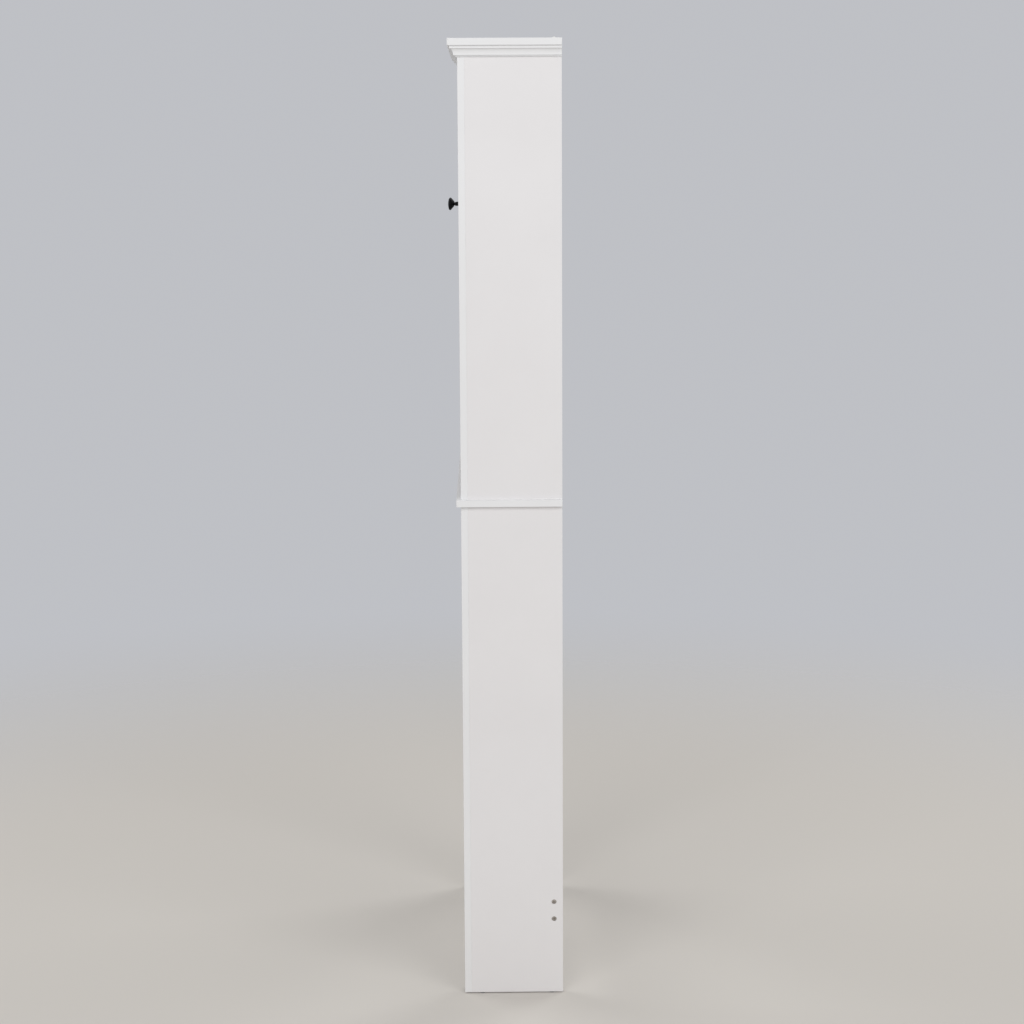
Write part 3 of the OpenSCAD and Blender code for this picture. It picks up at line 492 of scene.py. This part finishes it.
def makePiece(node, form, parts, slotName, body, material=None):
    # joins the parts into one piece that stands for the node and is named after it and its form
    points = np.concatenate([part[0] for part in parts])
    faces = []
    start = 0
    for partPoints, quads, caps in parts:
        faces += (quads + start).tolist()
        faces += [(np.asarray(cap) + start).tolist() for cap in caps]
        start += len(partPoints)
    data = mergedMesh(f"{node}_{form}", points, faces)
    data.shade_smooth()
    data.set_sharp_from_angle(angle=sharpAngle)
    data.materials.append(material or finishes[slotName])
    piece = linked(f"{node}_{form}", data)
    weightNormals(piece)
    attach(piece, body)
    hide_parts(node)


def boxOf(node):
    return [np.array(corner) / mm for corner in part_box(node)]


def middleOf(node):
    low, high = boxOf(node)
    return (low + high) / 2


def makeBoard(node, body, along, eases, endEase, form="eased"):
    # a painted board that fills the node's box
    low, high = boxOf(node)
    makePiece(node, form, [easedBoard(low, high, along, eases, endEase)], "white_paint", body)


# Carried-over nodes keep their shape. All get the finish of their slot, and these get eased edges.
sideBoards = ["left_leg_panel", "right_leg_panel", "left_side_panel", "right_side_panel"]
easedNodes = sideBoards + [
    "front_apron", "rear_stretcher", "top_rail", "mid_rail", "fixed_shelf", "top_panel",
    "hanging_rail", "crown_cleats", "stop_block", "catch_case",
]
easing = {
    "width": 0.3 * mm,
    "segments": 2,
    "angle": 0.6,  # radians between two faces, past which their edge is eased
}
boardEasing = {**easing, "width": 0.12 * mm}  # the side boards meet the slabs almost sharp


def finishNodes():
    for name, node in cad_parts.items():
        for holder in node.material_slots:
            slotName = holder.material.name.split(".")[0]
            holder.material = paintedBoard if name in sideBoards else finishes[slotName]


def easeEdges(node, spec):
    # a node's mesh is loose triangles, so it is welded before its edges are bevelled
    weld = node.modifiers.new("weld", "WELD")
    weld.merge_threshold = mergeDistance
    bevel = node.modifiers.new("easedEdges", "BEVEL")
    bevel.width = spec["width"]
    bevel.segments = spec["segments"]
    bevel.limit_method = "ANGLE"
    bevel.angle_limit = spec["angle"]
    weightNormals(node)


finishNodes()
for nodeName in easedNodes:
    easeEdges(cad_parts[nodeName], boardEasing if nodeName in sideBoards else easing)
print("nodes finished:", len(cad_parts), "eased:", len(easedNodes))

# Front frame: the front corners are eased more than those that meet the side boards
frameStile = {"back": 0.3, "front": 0.8, "end": 0.12}


def makeFrameStiles(spec):
    eases = [spec["back"], spec["back"], spec["front"], spec["front"]]
    for node in ("left_leg_stile", "right_leg_stile", "left_stile", "right_stile"):
        makeBoard(node, "cabinet", "z", eases, spec["end"])


makeFrameStiles(frameStile)

# Waist board and crown cap, with a small nosing on the front and the sides
slab = {
    "nose": 0.3,
    "noseSteps": 6,
    "corner": 1.2,
    "backEase": 0.3,
    "backCorner": 0.4,
    "cornerSteps": 4,
}


def nosedSlab(low, high, spec):
    # rings of a rounded rectangle: as t goes round the nosing from below to above, each ring steps in
    # by nose * (1 - cos t) at the front and the sides and by backEase * (1 - cos t) at the back, and
    # lies at level + nose * sin t
    nose = spec["nose"]
    rise = halfTurn(spec["noseSteps"])[:, None]
    level = np.repeat([low[2] + nose, high[2] - nose], spec["noseSteps"] + 1)[:, None]
    angle, signX, signY = cornerTurns(spec["cornerSteps"])
    atBack = signY > 0
    stepIn = 1 - np.cos(rise)
    inward = np.where(atBack, spec["backEase"], nose) * stepIn
    radius = np.where(atBack, spec["backCorner"], spec["corner"])
    x = signX * (high[0] - nose * stepIn - radius) + radius * np.cos(angle)
    y = np.where(atBack, high[1] - inward - radius, low[1] + inward + radius) + radius * np.sin(angle)
    points = stacked(x, y, level + nose * np.sin(rise))
    rows, columns = x.shape
    return points.reshape(-1, 3), ringQuads(rows, columns), endCaps(rows, columns)


def makeSlabs(spec):
    for node in ("waist_board", "crown_cap"):
        makePiece(node, "nosed", [nosedSlab(*boxOf(node), spec)], "white_paint", "cabinet")


makeSlabs(slab)
print("frame stiles and slabs ready")

# Crown moulding, measured outwards from the faces of the case and up from its foot
moulding = {
    "thick": 12.0,  # behind the faces of the case
    "jointOut": 0.2,
    "jointHigh": 0.7,
    "filletOut": 3.1,
    "filletHigh": 3.0,
    "filletEase": 0.2,
    "coveFoot": 6.4,
    "coveTop": 10.3,
    "covePoints": 20,
    "beadOut": 13.0,
    "beadHigh": 5.0,
    "beadEdge": 0.45,
    "beadSteps": 5,
}


def mouldingSection(spec, height):
    # open joint, fillet, hollow cove and a bead with rounded edges. The cove is a circle whose
    # tangent is upright at its foot: out = foot + radius - sqrt(radius^2 - up^2).
    coveHigh = height - spec["beadHigh"] - spec["filletHigh"]
    coveRun = spec["coveTop"] - spec["coveFoot"]
    coveRadius = (coveHigh**2 + coveRun**2) / (2 * coveRun)
    up = np.linspace(0.0, coveHigh, spec["covePoints"])[1:]
    coveOut = spec["coveFoot"] + coveRadius - np.sqrt(coveRadius**2 - up**2)
    edge = spec["beadEdge"]
    turn = halfTurn(spec["beadSteps"])
    level = np.repeat([height - spec["beadHigh"] + edge, height - edge], spec["beadSteps"] + 1)
    ease = spec["filletEase"]
    return np.concatenate([
        [[-spec["thick"], 0.0], [spec["jointOut"], 0.0], [spec["jointOut"], spec["jointHigh"]]],
        [[spec["filletOut"] - ease, spec["jointHigh"]], [spec["filletOut"], spec["jointHigh"] + ease]],
        [[spec["filletOut"], spec["filletHigh"]], [spec["coveFoot"], spec["filletHigh"]]],
        stacked(coveOut, spec["filletHigh"] + up),
        stacked(spec["beadOut"] - edge + edge * np.cos(turn), level + edge * np.sin(turn)),
        [[-spec["thick"], height]],
    ])


def makeCrown(spec):
    # the front run is mitred at both ends, and each side run at the front
    low, high = boxOf("crown_front")
    section = mouldingSection(spec, high[2] - low[2])
    halfWide = high[0] - spec["beadOut"]
    front = low[1] + spec["beadOut"]
    back = boxOf("crown_right")[1][1]
    ends = [(-halfWide, front, low[2]), (halfWide, front, low[2])]
    run = carried(section, ends, [(-1, -1, 0), (1, -1, 0)])
    makePiece("crown_front", "moulded", [run], "white_paint", "cabinet")
    for side, sign in (("left", -1), ("right", 1)):
        ends = [(sign * halfWide, front, low[2]), (sign * halfWide, back, low[2])]
        run = carried(section, ends, [(sign, -1, 0), (sign, 0, 0)])
        makePiece(f"crown_{side}", "moulded", [run], "white_paint", "cabinet")


makeCrown(moulding)
backStrip = {"edge": 0.6, "end": 0.4}
makeBoard("crown_back_strip", "cabinet", "x", [backStrip["edge"]] * 4, backStrip["end"])

# Domed covers over the screws of the cap
cover = {"radius": 3.5, "height": 2.8, "edge": 0.5, "steps": 7, "sides": 40}


def makeCovers(spec):
    # a short upright edge under a low dome: radius * cos t at height edge + (height - edge) * sin t
    low, high = boxOf("screw_covers")
    t = quarterTurn(spec["steps"])
    rise = spec["edge"] + (spec["height"] - spec["edge"]) * np.sin(t)
    foot = [[0.0, 0.0], [0.0, spec["radius"]]]
    profile = np.concatenate([foot, stacked(rise, spec["radius"] * np.cos(t))])
    x = high[0] - spec["radius"]
    y = (low[1] + high[1]) / 2
    parts = [turned(profile, (sign * x, y, low[2]), "z", spec["sides"]) for sign in (-1, 1)]
    makePiece("screw_covers", "domed", parts, "white_plastic", "cabinet")


makeCovers(cover)
print("crown ready")

# Doors: stiles, rails and a flat panel in their grooves; sticking is the edge beside the panel
door = {
    "outer": 1.5,
    "sticking": 0.9,
    "back": 0.6,
    "stileEnd": 0.3,
    "railEnd": 0.2,
    "panelEdge": 0.5,
    "panelEnd": 0.4,
}


def makeDoor(side, spec):
    body = f"{side}_door"
    back, outer, sticking = spec["back"], spec["outer"], spec["sticking"]
    leftStile, rightStile = ("lock", "hinge") if side == "right" else ("hinge", "lock")
    stileEases = {
        leftStile: [back, back, outer, sticking],
        rightStile: [back, back, sticking, outer],
    }
    for name in ("hinge", "lock"):
        makeBoard(f"{side}_{name}_stile", body, "z", stileEases[name], spec["stileEnd"])
    railEases = {
        "top": [back, outer, sticking, back],
        "bottom": [back, sticking, outer, back],
    }
    for name, eases in railEases.items():
        node = f"{side}_door_{name}_rail"
        low, high = boxOf(node)
        low[0] = boxOf(f"{side}_{leftStile}_stile")[1][0]  # the stiles hide the rail's tongues
        high[0] = boxOf(f"{side}_{rightStile}_stile")[0][0]
        rail = easedBoard(low, high, "x", eases, spec["railEnd"])
        makePiece(node, "eased", [rail], "white_paint", body)
    panelEases = [spec["panelEdge"]] * 4
    makeBoard(f"{side}_door_panel", body, "z", panelEases, spec["panelEnd"], "flat")


for doorSide in ("left", "right"):
    makeDoor(doorSide, door)
print("doors ready")

# Knobs: a dome of one circle that meets the rim's circle, a hollow back and a foot
knob = {
    "out": 22.0,
    "head": 22.0,
    "rim": 2.6,
    "rimBack": 3.8,
    "rimStart": 45.0,  # degrees behind the widest point of the rim
    "hollow": 1.15,  # power of the hollow back's curve
    "neckOut": 10.8,
    "neckGroove": 1.1,
    "stem": 6.6,
    "flareOut": 1.6,
    "flareWide": 1.4,
    "foot": 11.0,
    "footThick": 1.8,
    "footEase": 0.4,
    "footSteps": 4,
    "flarePoints": 8,
    "groovePoints": 13,
    "hollowPoints": 10,
    "arcPoints": 14,
    "sides": 64,
}


def knobProfile(spec):
    # from the door outwards: foot, flare of (1 - t)^2, round groove, hollow back of t^hollow, rim
    # arc and dome arc to the pole. The dome touches the rim's circle where
    # radius = (rimX^2 + rimBack^2 - rim^2) / (2 * (rimBack - rim)).
    rim = spec["rim"]
    rimX = spec["head"] / 2 - rim
    rimY = spec["out"] - spec["rimBack"]
    domeRadius = (rimX**2 + spec["rimBack"]**2 - rim**2) / (2 * (spec["rimBack"] - rim))
    domeCentre = spec["out"] - domeRadius
    touch = math.atan2(rimX, rimY - domeCentre)
    start = math.radians(spec["rimStart"])
    stem = spec["stem"] / 2
    foot = spec["foot"] / 2
    ease = spec["footEase"]
    groove = spec["neckGroove"]
    hollowWide = rimX + rim * math.cos(start) - stem
    hollowOut = rimY - rim * math.sin(start) - spec["neckOut"]
    footArc = quarterTurn(spec["footSteps"])
    flare = np.linspace(0.0, 1.0, spec["flarePoints"])
    grooveArc = np.linspace(-math.pi / 2, math.pi / 2, spec["groovePoints"])[:-1]
    back = np.linspace(0.0, 1.0, spec["hollowPoints"])
    rimArc = np.linspace(-start, math.pi / 2 - touch, spec["arcPoints"])
    domeArc = np.linspace(touch, 0.0, spec["arcPoints"])[1:]
    return np.concatenate([
        [[0.0, 0.0], [0.0, foot]],
        stacked(spec["footThick"] - ease * (1 - np.sin(footArc)), foot - ease * (1 - np.cos(footArc))),
        stacked(spec["footThick"] + spec["flareOut"] * flare, stem + spec["flareWide"] * (1 - flare)**2),
        stacked(spec["neckOut"] - groove * (1 - np.sin(grooveArc)), stem - groove * np.cos(grooveArc)),
        stacked(spec["neckOut"] + hollowOut * back ** spec["hollow"], stem + hollowWide * back),
        stacked(rimY + rim * np.sin(rimArc), rimX + rim * np.cos(rimArc)),
        stacked(domeCentre + domeRadius * np.cos(domeArc), domeRadius * np.sin(domeArc)),
    ])


def makeKnob(side, spec):
    node = f"{side}_knob"
    centre = middleOf(node)
    centre[1] = boxOf(node)[1][1]  # the face of the door
    part = turned(knobProfile(spec), centre, "-y", spec["sides"])
    makePiece(node, "turned", [part], "black_enamel", f"{side}_door")


for doorSide in ("left", "right"):
    makeKnob(doorSide, knob)
print("knobs ready")

# Heads with a socket or a recess: radius by angle of its outline, which is sunk into the face
headSides = 48
headAngles = np.linspace(0.0, 2 * math.pi, headSides, endpoint=False)


def hexOutline(size):
    # a hexagon with corners on a circle of this diameter: apothem / cos of the angle off its side
    apothem = size / 2 * math.cos(math.pi / 6)
    return apothem / np.cos(np.mod(headAngles, math.pi / 3) - math.pi / 6)


def crossOutline(reach, half):
    # a plus sign whose arms reach out and are 2 * half wide: the nearer of an arm's end and side
    off = np.mod(headAngles + math.pi / 4, math.pi / 2) - math.pi / 4
    sideways = np.maximum(np.abs(np.sin(off)), 1e-6)  # never 0 along the middle of an arm
    return np.minimum(reach / np.cos(off), half / sideways)


def socketed(profile, outline, depth, taper, centre, along):
    # a turned head whose face runs in to the outline, then down by depth to a floor that is drawn
    # in by taper; the outline takes the place of a circle of radius 1
    face = profile[-1][0]
    sunk = [[face, 1.0], [face - depth, 1.0], [face - depth, 0.0]]
    points, quads, caps = turned(np.concatenate([profile, sunk]), centre, along, headSides)
    points = points.reshape(-1, headSides, 3)
    sign, a, b, _ = axesOf(along)
    for row, scale in ((-3, 1.0), (-2, taper)):
        points[row, :, a] = centre[a] + scale * outline * np.cos(headAngles)
        points[row, :, b] = centre[b] + sign * scale * outline * np.sin(headAngles)
    return points.reshape(-1, 3), quads, caps


# Bolts of the stretcher: round heads with a hexagonal socket, sunk in the leg panels
bolt = {
    "head": 9.0,
    "headThick": 3.0,
    "headEdge": 0.5,
    "edgeSteps": 3,
    "shank": 6.0,
    "length": 38.0,
    "tipEase": 0.5,
    "socket": 4.2,
    "socketDeep": 2.0,
}


def boltPart(spec, centre, along):
    # turned from the end of the shank to the face of the head, whose edge is a quarter circle
    head = spec["head"] / 2
    shank = spec["shank"] / 2
    tip = spec["tipEase"]
    edge = spec["headEdge"]
    arc = quarterTurn(spec["edgeSteps"])
    profile = np.concatenate([
        [[-spec["length"], 0.0], [-spec["length"], shank - tip], [tip - spec["length"], shank]],
        [[0.0, shank], [0.0, head]],
        stacked(spec["headThick"] - edge * (1 - np.sin(arc)), head - edge * (1 - np.cos(arc))),
    ])
    return socketed(profile, hexOutline(spec["socket"]), spec["socketDeep"], 1.0, centre, along)


def makeBolts(spec):
    low, high = boxOf("stretcher_bolts")
    x = high[0] - spec["headThick"]
    y = (low[1] + high[1]) / 2
    parts = []
    for sign, along in ((1, "x"), (-1, "-x")):
        for z in (low[2] + spec["head"] / 2, high[2] - spec["head"] / 2):
            parts.append(boltPart(spec, (sign * x, y, z), along))
    makePiece("stretcher_bolts", "socketed", parts, "zinc_steel", "cabinet", bronzedSteel)


makeBolts(bolt)

# Pan-head screws hold the knobs
panScrew = {
    "shank": 4.0,
    "head": 7.5,
    "headThick": 2.4,
    "edge": 0.8,
    "shoulder": 1.7,
    "domeSteps": 5,
    "reach": 1.9,
    "half": 0.45,
    "deep": 1.3,
    "taper": 0.55,
}


def makeKnobScrew(side, spec):
    # shank, flat seat, upright edge and a quarter-ellipse dome that ends in the cross recess
    node = f"{side}_knob_screw"
    low, high = boxOf(node)
    seat = high[1] - spec["headThick"]
    shank = spec["shank"] / 2
    head = spec["head"] / 2
    rise = spec["headThick"] - spec["edge"]
    arc = quarterTurn(spec["domeSteps"])
    profile = np.concatenate([
        [[low[1] - seat, 0.0], [low[1] - seat, shank], [0.0, shank], [0.0, head]],
        stacked(spec["edge"] + rise * np.sin(arc), head - spec["shoulder"] * (1 - np.cos(arc))),
    ])
    centre = middleOf(node)
    centre[1] = seat
    outline = crossOutline(spec["reach"], spec["half"])
    part = socketed(profile, outline, spec["deep"], spec["taper"], centre, "y")
    makePiece(node, "crossed", [part], "zinc_steel", f"{side}_door")


for doorSide in ("left", "right"):
    makeKnobScrew(doorSide, panScrew)

# Flat-head screws hold the crown, the catch and the strikes
flatScrews = {
    "crown_screws": {"shank": 3.5, "head": 7.0},
    "catch_screws": {"shank": 3.0, "head": 5.5},
}
flatForm = {
    "rim": 0.3,  # upright stretch below the face
    "edge": 0.1,
    "tip": 0.4,  # share of the shank's radius
    "tipLong": 0.8,  # share of the shank's diameter
    "reach": 0.55,  # share of the head's radius, as half and deep are
    "half": 0.14,
    "deep": 0.4,
    "taper": 0.5,
}


def flatScrewPart(size, length, centre, along):
    # point, shank, cone of 45 degrees, rim and a flat face with the recess; the face is at the centre
    shank = size["shank"] / 2
    head = size["head"] / 2
    rim, edge = flatForm["rim"], flatForm["edge"]
    profile = [
        [-length, 0.0],
        [-length, shank * flatForm["tip"]],
        [-length + size["shank"] * flatForm["tipLong"], shank],
        [shank - head - rim, shank],
        [-rim, head],
        [-edge, head],
        [0.0, head - edge],
    ]
    outline = crossOutline(head * flatForm["reach"], head * flatForm["half"])
    return socketed(profile, outline, head * flatForm["deep"], flatForm["taper"], centre, along)


def makeFlatScrews(node, size):
    # one screw in each corner of the node's box, or at each end where the box is one head deep,
    # driven upwards from its lower side
    low, high = boxOf(node)
    inset = size["head"] / 2
    parts = []
    for x in (low[0] + inset, high[0] - inset):
        for y in np.unique(np.round([low[1] + inset, high[1] - inset], 3)):
            parts.append(flatScrewPart(size, high[2] - low[2], (x, y, low[2]), "-z"))
    makePiece(node, "crossed", parts, "zinc_steel", "cabinet")


for screwNode, screwSize in flatScrews.items():
    makeFlatScrews(screwNode, screwSize)

# Strike plates: a rounded plate with a countersunk flat screw, whose face lies just below its own
strike = {
    "thick": 1.0,
    "corner": 1.0,
    "edge": 0.3,
    "edgeSteps": 3,
    "sink": 5.2,
    "sinkDeep": 0.7,
    "shank": 2.5,
    "head": 4.6,
    "below": 0.1,
}


def makeStrike(side, spec):
    # rings of a rounded rectangle up to an eased edge, then circles down the countersink
    node = f"{side}_strike_plate"
    low, high = boxOf(node)
    coreX = (high[0] - low[0]) / 2 - spec["corner"]
    coreZ = (high[2] - low[2]) / 2 - spec["corner"]
    arc = quarterTurn(spec["edgeSteps"])
    level = spec["thick"] - spec["edge"] * (1 - np.sin(arc))
    radius = spec["corner"] - spec["edge"] * (1 - np.cos(arc))
    sink = spec["sink"] / 2
    rings = np.concatenate([
        [[0.0, coreZ, coreX, spec["corner"]]],
        stacked(level, coreZ, coreX, radius),
        [[spec["thick"], 0.0, 0.0, sink]],
        [[spec["thick"] - spec["sinkDeep"], 0.0, 0.0, sink - spec["sinkDeep"]]],
    ])
    seat = middleOf(node)
    seat[1] = high[1] - spec["thick"]
    face = middleOf(node)
    face[1] = high[1] - spec["below"]
    parts = [cornerRings(rings, seat, "y"), flatScrewPart(spec, face[1] - low[1], face, "y")]
    makePiece(node, "screwed", parts, "zinc_steel", f"{side}_door")


for doorSide in ("left", "right"):
    makeStrike(doorSide, strike)
print("bolts, screws and strikes ready")

# Glides under the legs
glide = {
    "radius": 5.5,
    "thick": 2.0,
    "edge": 0.8,
    "edgeSteps": 4,
    "crown": 0.1,
    "flat": 1 / 3,  # share of the radius that is flat
    "sides": 40,
}


def makeGlides(spec):
    # a disc with a rounded lower edge and a barely domed sole, flat in the middle
    low, high = boxOf("foot_glides")
    radius = spec["radius"]
    arc = quarterTurn(spec["edgeSteps"])
    edge = stacked(spec["edge"] * (1 - np.cos(arc)), radius - spec["edge"] * (1 - np.sin(arc)))
    edge[0, 0] = spec["crown"]
    profile = np.concatenate([
        [[0.0, 0.0], [0.0, radius * spec["flat"]]],
        edge,
        [[spec["thick"], radius], [spec["thick"], 0.0]],
    ])
    parts = []
    for x in (low[0] + radius, high[0] - radius):
        for y in (low[1] + radius, high[1] - radius):
            parts.append(turned(profile, (x, y, 0.0), "z", spec["sides"]))
    makePiece("foot_glides", "rounded", parts, "glide_plastic", "cabinet")


makeGlides(glide)
print("glides ready")

# Loose shelf and its pins; the peg and the neck are radii
looseShelf = {"back": 0.6, "front": 1.4, "end": 0.4}
pin = {
    "peg": 2.5,
    "in": 8.0,
    "tipEase": 0.6,
    "shoulder": 0.4,
    "shoulderEase": 0.1,
    "neck": 1.9,
    "neckEase": 0.6,
    "neckShort": 0.4,
    "pad": 9.0,
    "padThick": 2.0,
    "padEase": 0.7,
    "sides": 32,
}


def makeLooseShelf(spec):
    eases = [spec["back"], spec["front"], spec["front"], spec["back"]]
    makeBoard("adjustable_shelf", "cabinet", "x", eases, spec["end"])


def makeShelfPins(spec):
    # a peg turned about x, stepped to a neck under a pad with eased edges
    low, high = boxOf("shelf_pins")
    under = high[2] - spec["padThick"]
    mouth = high[0] - spec["in"]
    neckEnd = spec["pad"] - spec["neckShort"]
    profile = [
        [-spec["in"], 0.0],
        [-spec["in"], spec["peg"] - spec["tipEase"]],
        [spec["tipEase"] - spec["in"], spec["peg"]],
        [0.0, spec["peg"]],
        [spec["shoulder"], spec["peg"] - spec["shoulderEase"]],
        [spec["shoulder"], spec["neck"]],
        [neckEnd - spec["neckEase"], spec["neck"]],
        [neckEnd, spec["neck"] - spec["neckEase"]],
        [neckEnd, 0.0],
    ]
    half = np.array([spec["pad"], spec["pad"], spec["padThick"]]) / 2
    padEases = [spec["padEase"]] * 4
    parts = []
    for sign, along in ((1, "-x"), (-1, "x")):
        for y in (low[1] + half[1], high[1] - half[1]):
            parts.append(turned(profile, (sign * mouth, y, under), along, spec["sides"]))
            middle = np.array([sign * (mouth - half[0]), y, under + half[2]])
            parts.append(easedBoard(middle - half, middle + half, "x", padEases, spec["padEase"]))
    makePiece("shelf_pins", "turned", parts, "zinc_steel", "cabinet")


makeLooseShelf(looseShelf)
makeShelfPins(pin)
print("shelf ready")

# Stage: a pale floor that fades out round the object, and a plain pale world, in metres
stage = {
    "floorColour": (0.64, 0.61, 0.57),
    "floorRoughness": 0.9,
    "radius": 4.0,
    "rings": 9,
    "sides": 64,
    "fadeFrom": 1.1,
    "fadeTo": 3.2,
    "backdrop": (0.52, 0.53, 0.56),
    "ambient": 0.40,
}


def fadingFloor(spec):
    # pale and matt near the object, and clear past fadeTo, where the backdrop shows through
    material, tree, shader = freshMaterial("paleFloor")
    shader.inputs["Base Color"].default_value = (*spec["floorColour"], 1.0)
    shader.inputs["Roughness"].default_value = spec["floorRoughness"]
    length = tree.nodes.new("ShaderNodeVectorMath")
    length.operation = "LENGTH"
    tree.links.new(objectPoint(tree), length.inputs[0])
    fade = tree.nodes.new("ShaderNodeMapRange")
    fade.interpolation_type = "SMOOTHSTEP"
    fade.inputs["From Min"].default_value = spec["fadeFrom"]
    fade.inputs["From Max"].default_value = spec["fadeTo"]
    tree.links.new(length.outputs["Value"], fade.inputs["Value"])
    clear = tree.nodes.new("ShaderNodeBsdfTransparent")
    mixed = tree.nodes.new("ShaderNodeMixShader")
    tree.links.new(fade.outputs["Result"], mixed.inputs["Fac"])
    tree.links.new(shader.outputs["BSDF"], mixed.inputs[1])
    tree.links.new(clear.outputs["BSDF"], mixed.inputs[2])
    tree.links.new(mixed.outputs["Shader"], tree.nodes["Material Output"].inputs["Surface"])
    return material


def makeFloor(spec):
    # a disc: ring * (cos t, sin t) on the ground
    ring = np.linspace(0.0, spec["radius"] / mm, spec["rings"])[:, None]
    angle = np.linspace(0.0, 2 * math.pi, spec["sides"], endpoint=False)
    points = stacked(ring * np.cos(angle), ring * np.sin(angle), 0.0).reshape(-1, 3)
    quads = ringQuads(spec["rings"], spec["sides"]).tolist()
    data = mergedMesh("floor", points, quads, closed=False)
    data.materials.append(fadingFloor(spec))
    linked("floor", data)


def makeWorld(spec):
    # white light on the object, and the backdrop where the camera, a gloss or a glass sees the world
    world = bpy.data.worlds.new("paleWorld")
    world.use_nodes = True
    tree = world.node_tree
    ambient = tree.nodes["Background"]
    ambient.inputs["Color"].default_value = (1.0, 1.0, 1.0, 1.0)
    ambient.inputs["Strength"].default_value = spec["ambient"]
    seen = tree.nodes.new("ShaderNodeBackground")
    seen.inputs["Color"].default_value = (*spec["backdrop"], 1.0)
    path = tree.nodes.new("ShaderNodeLightPath")
    either = path.outputs["Is Camera Ray"]
    for kind in ("Is Glossy Ray", "Is Transmission Ray"):
        largest = tree.nodes.new("ShaderNodeMath")
        largest.operation = "MAXIMUM"
        tree.links.new(either, largest.inputs[0])
        tree.links.new(path.outputs[kind], largest.inputs[1])
        either = largest.outputs["Value"]
    mixed = tree.nodes.new("ShaderNodeMixShader")
    tree.links.new(either, mixed.inputs["Fac"])
    tree.links.new(ambient.outputs["Background"], mixed.inputs[1])
    tree.links.new(seen.outputs["Background"], mixed.inputs[2])
    tree.links.new(mixed.outputs["Shader"], tree.nodes["World Output"].inputs["Surface"])
    bpy.context.scene.world = world


# Soft round lamps: place, aim and diameter in metres, power in watts
lamps = {
    "rightSoft": {"place": (3.4, -1.2, 2.6), "aim": (0.0, 0.0, 0.9), "size": 2.9, "power": 49.5},
    "rightKey": {"place": (3.1, 2.2, 2.3), "aim": (0.0, 0.0, 0.9), "size": 2.7, "power": 42.5},
    "frontSoft": {"place": (-1.6, -3.0, 3.1), "aim": (0.0, 0.0, 1.0), "size": 2.8, "power": 42.0},
    "backSoft": {"place": (-2.6, 2.8, 3.0), "aim": (0.0, 0.0, 1.0), "size": 2.8, "power": 53.0},
}


def makeLamp(name, spec):
    # a lamp shines along its own -Z, so its Z points away from the aim
    data = bpy.data.lights.new(name, "AREA")
    data.shape = "DISK"
    data.size = spec["size"]
    data.energy = spec["power"]
    away = np.array(spec["place"]) - np.array(spec["aim"])
    away /= np.linalg.norm(away)
    side = np.cross((0.0, 0.0, 1.0), away)
    side /= np.linalg.norm(side)
    turnTo(linked(name, data), spec["place"], (side, np.cross(away, side), away))


makeFloor(stage)
makeWorld(stage)
for lampName, lampSpec in lamps.items():
    makeLamp(lampName, lampSpec)
bpy.context.scene.view_settings.view_transform = "Standard"
print("stage and lamps ready")
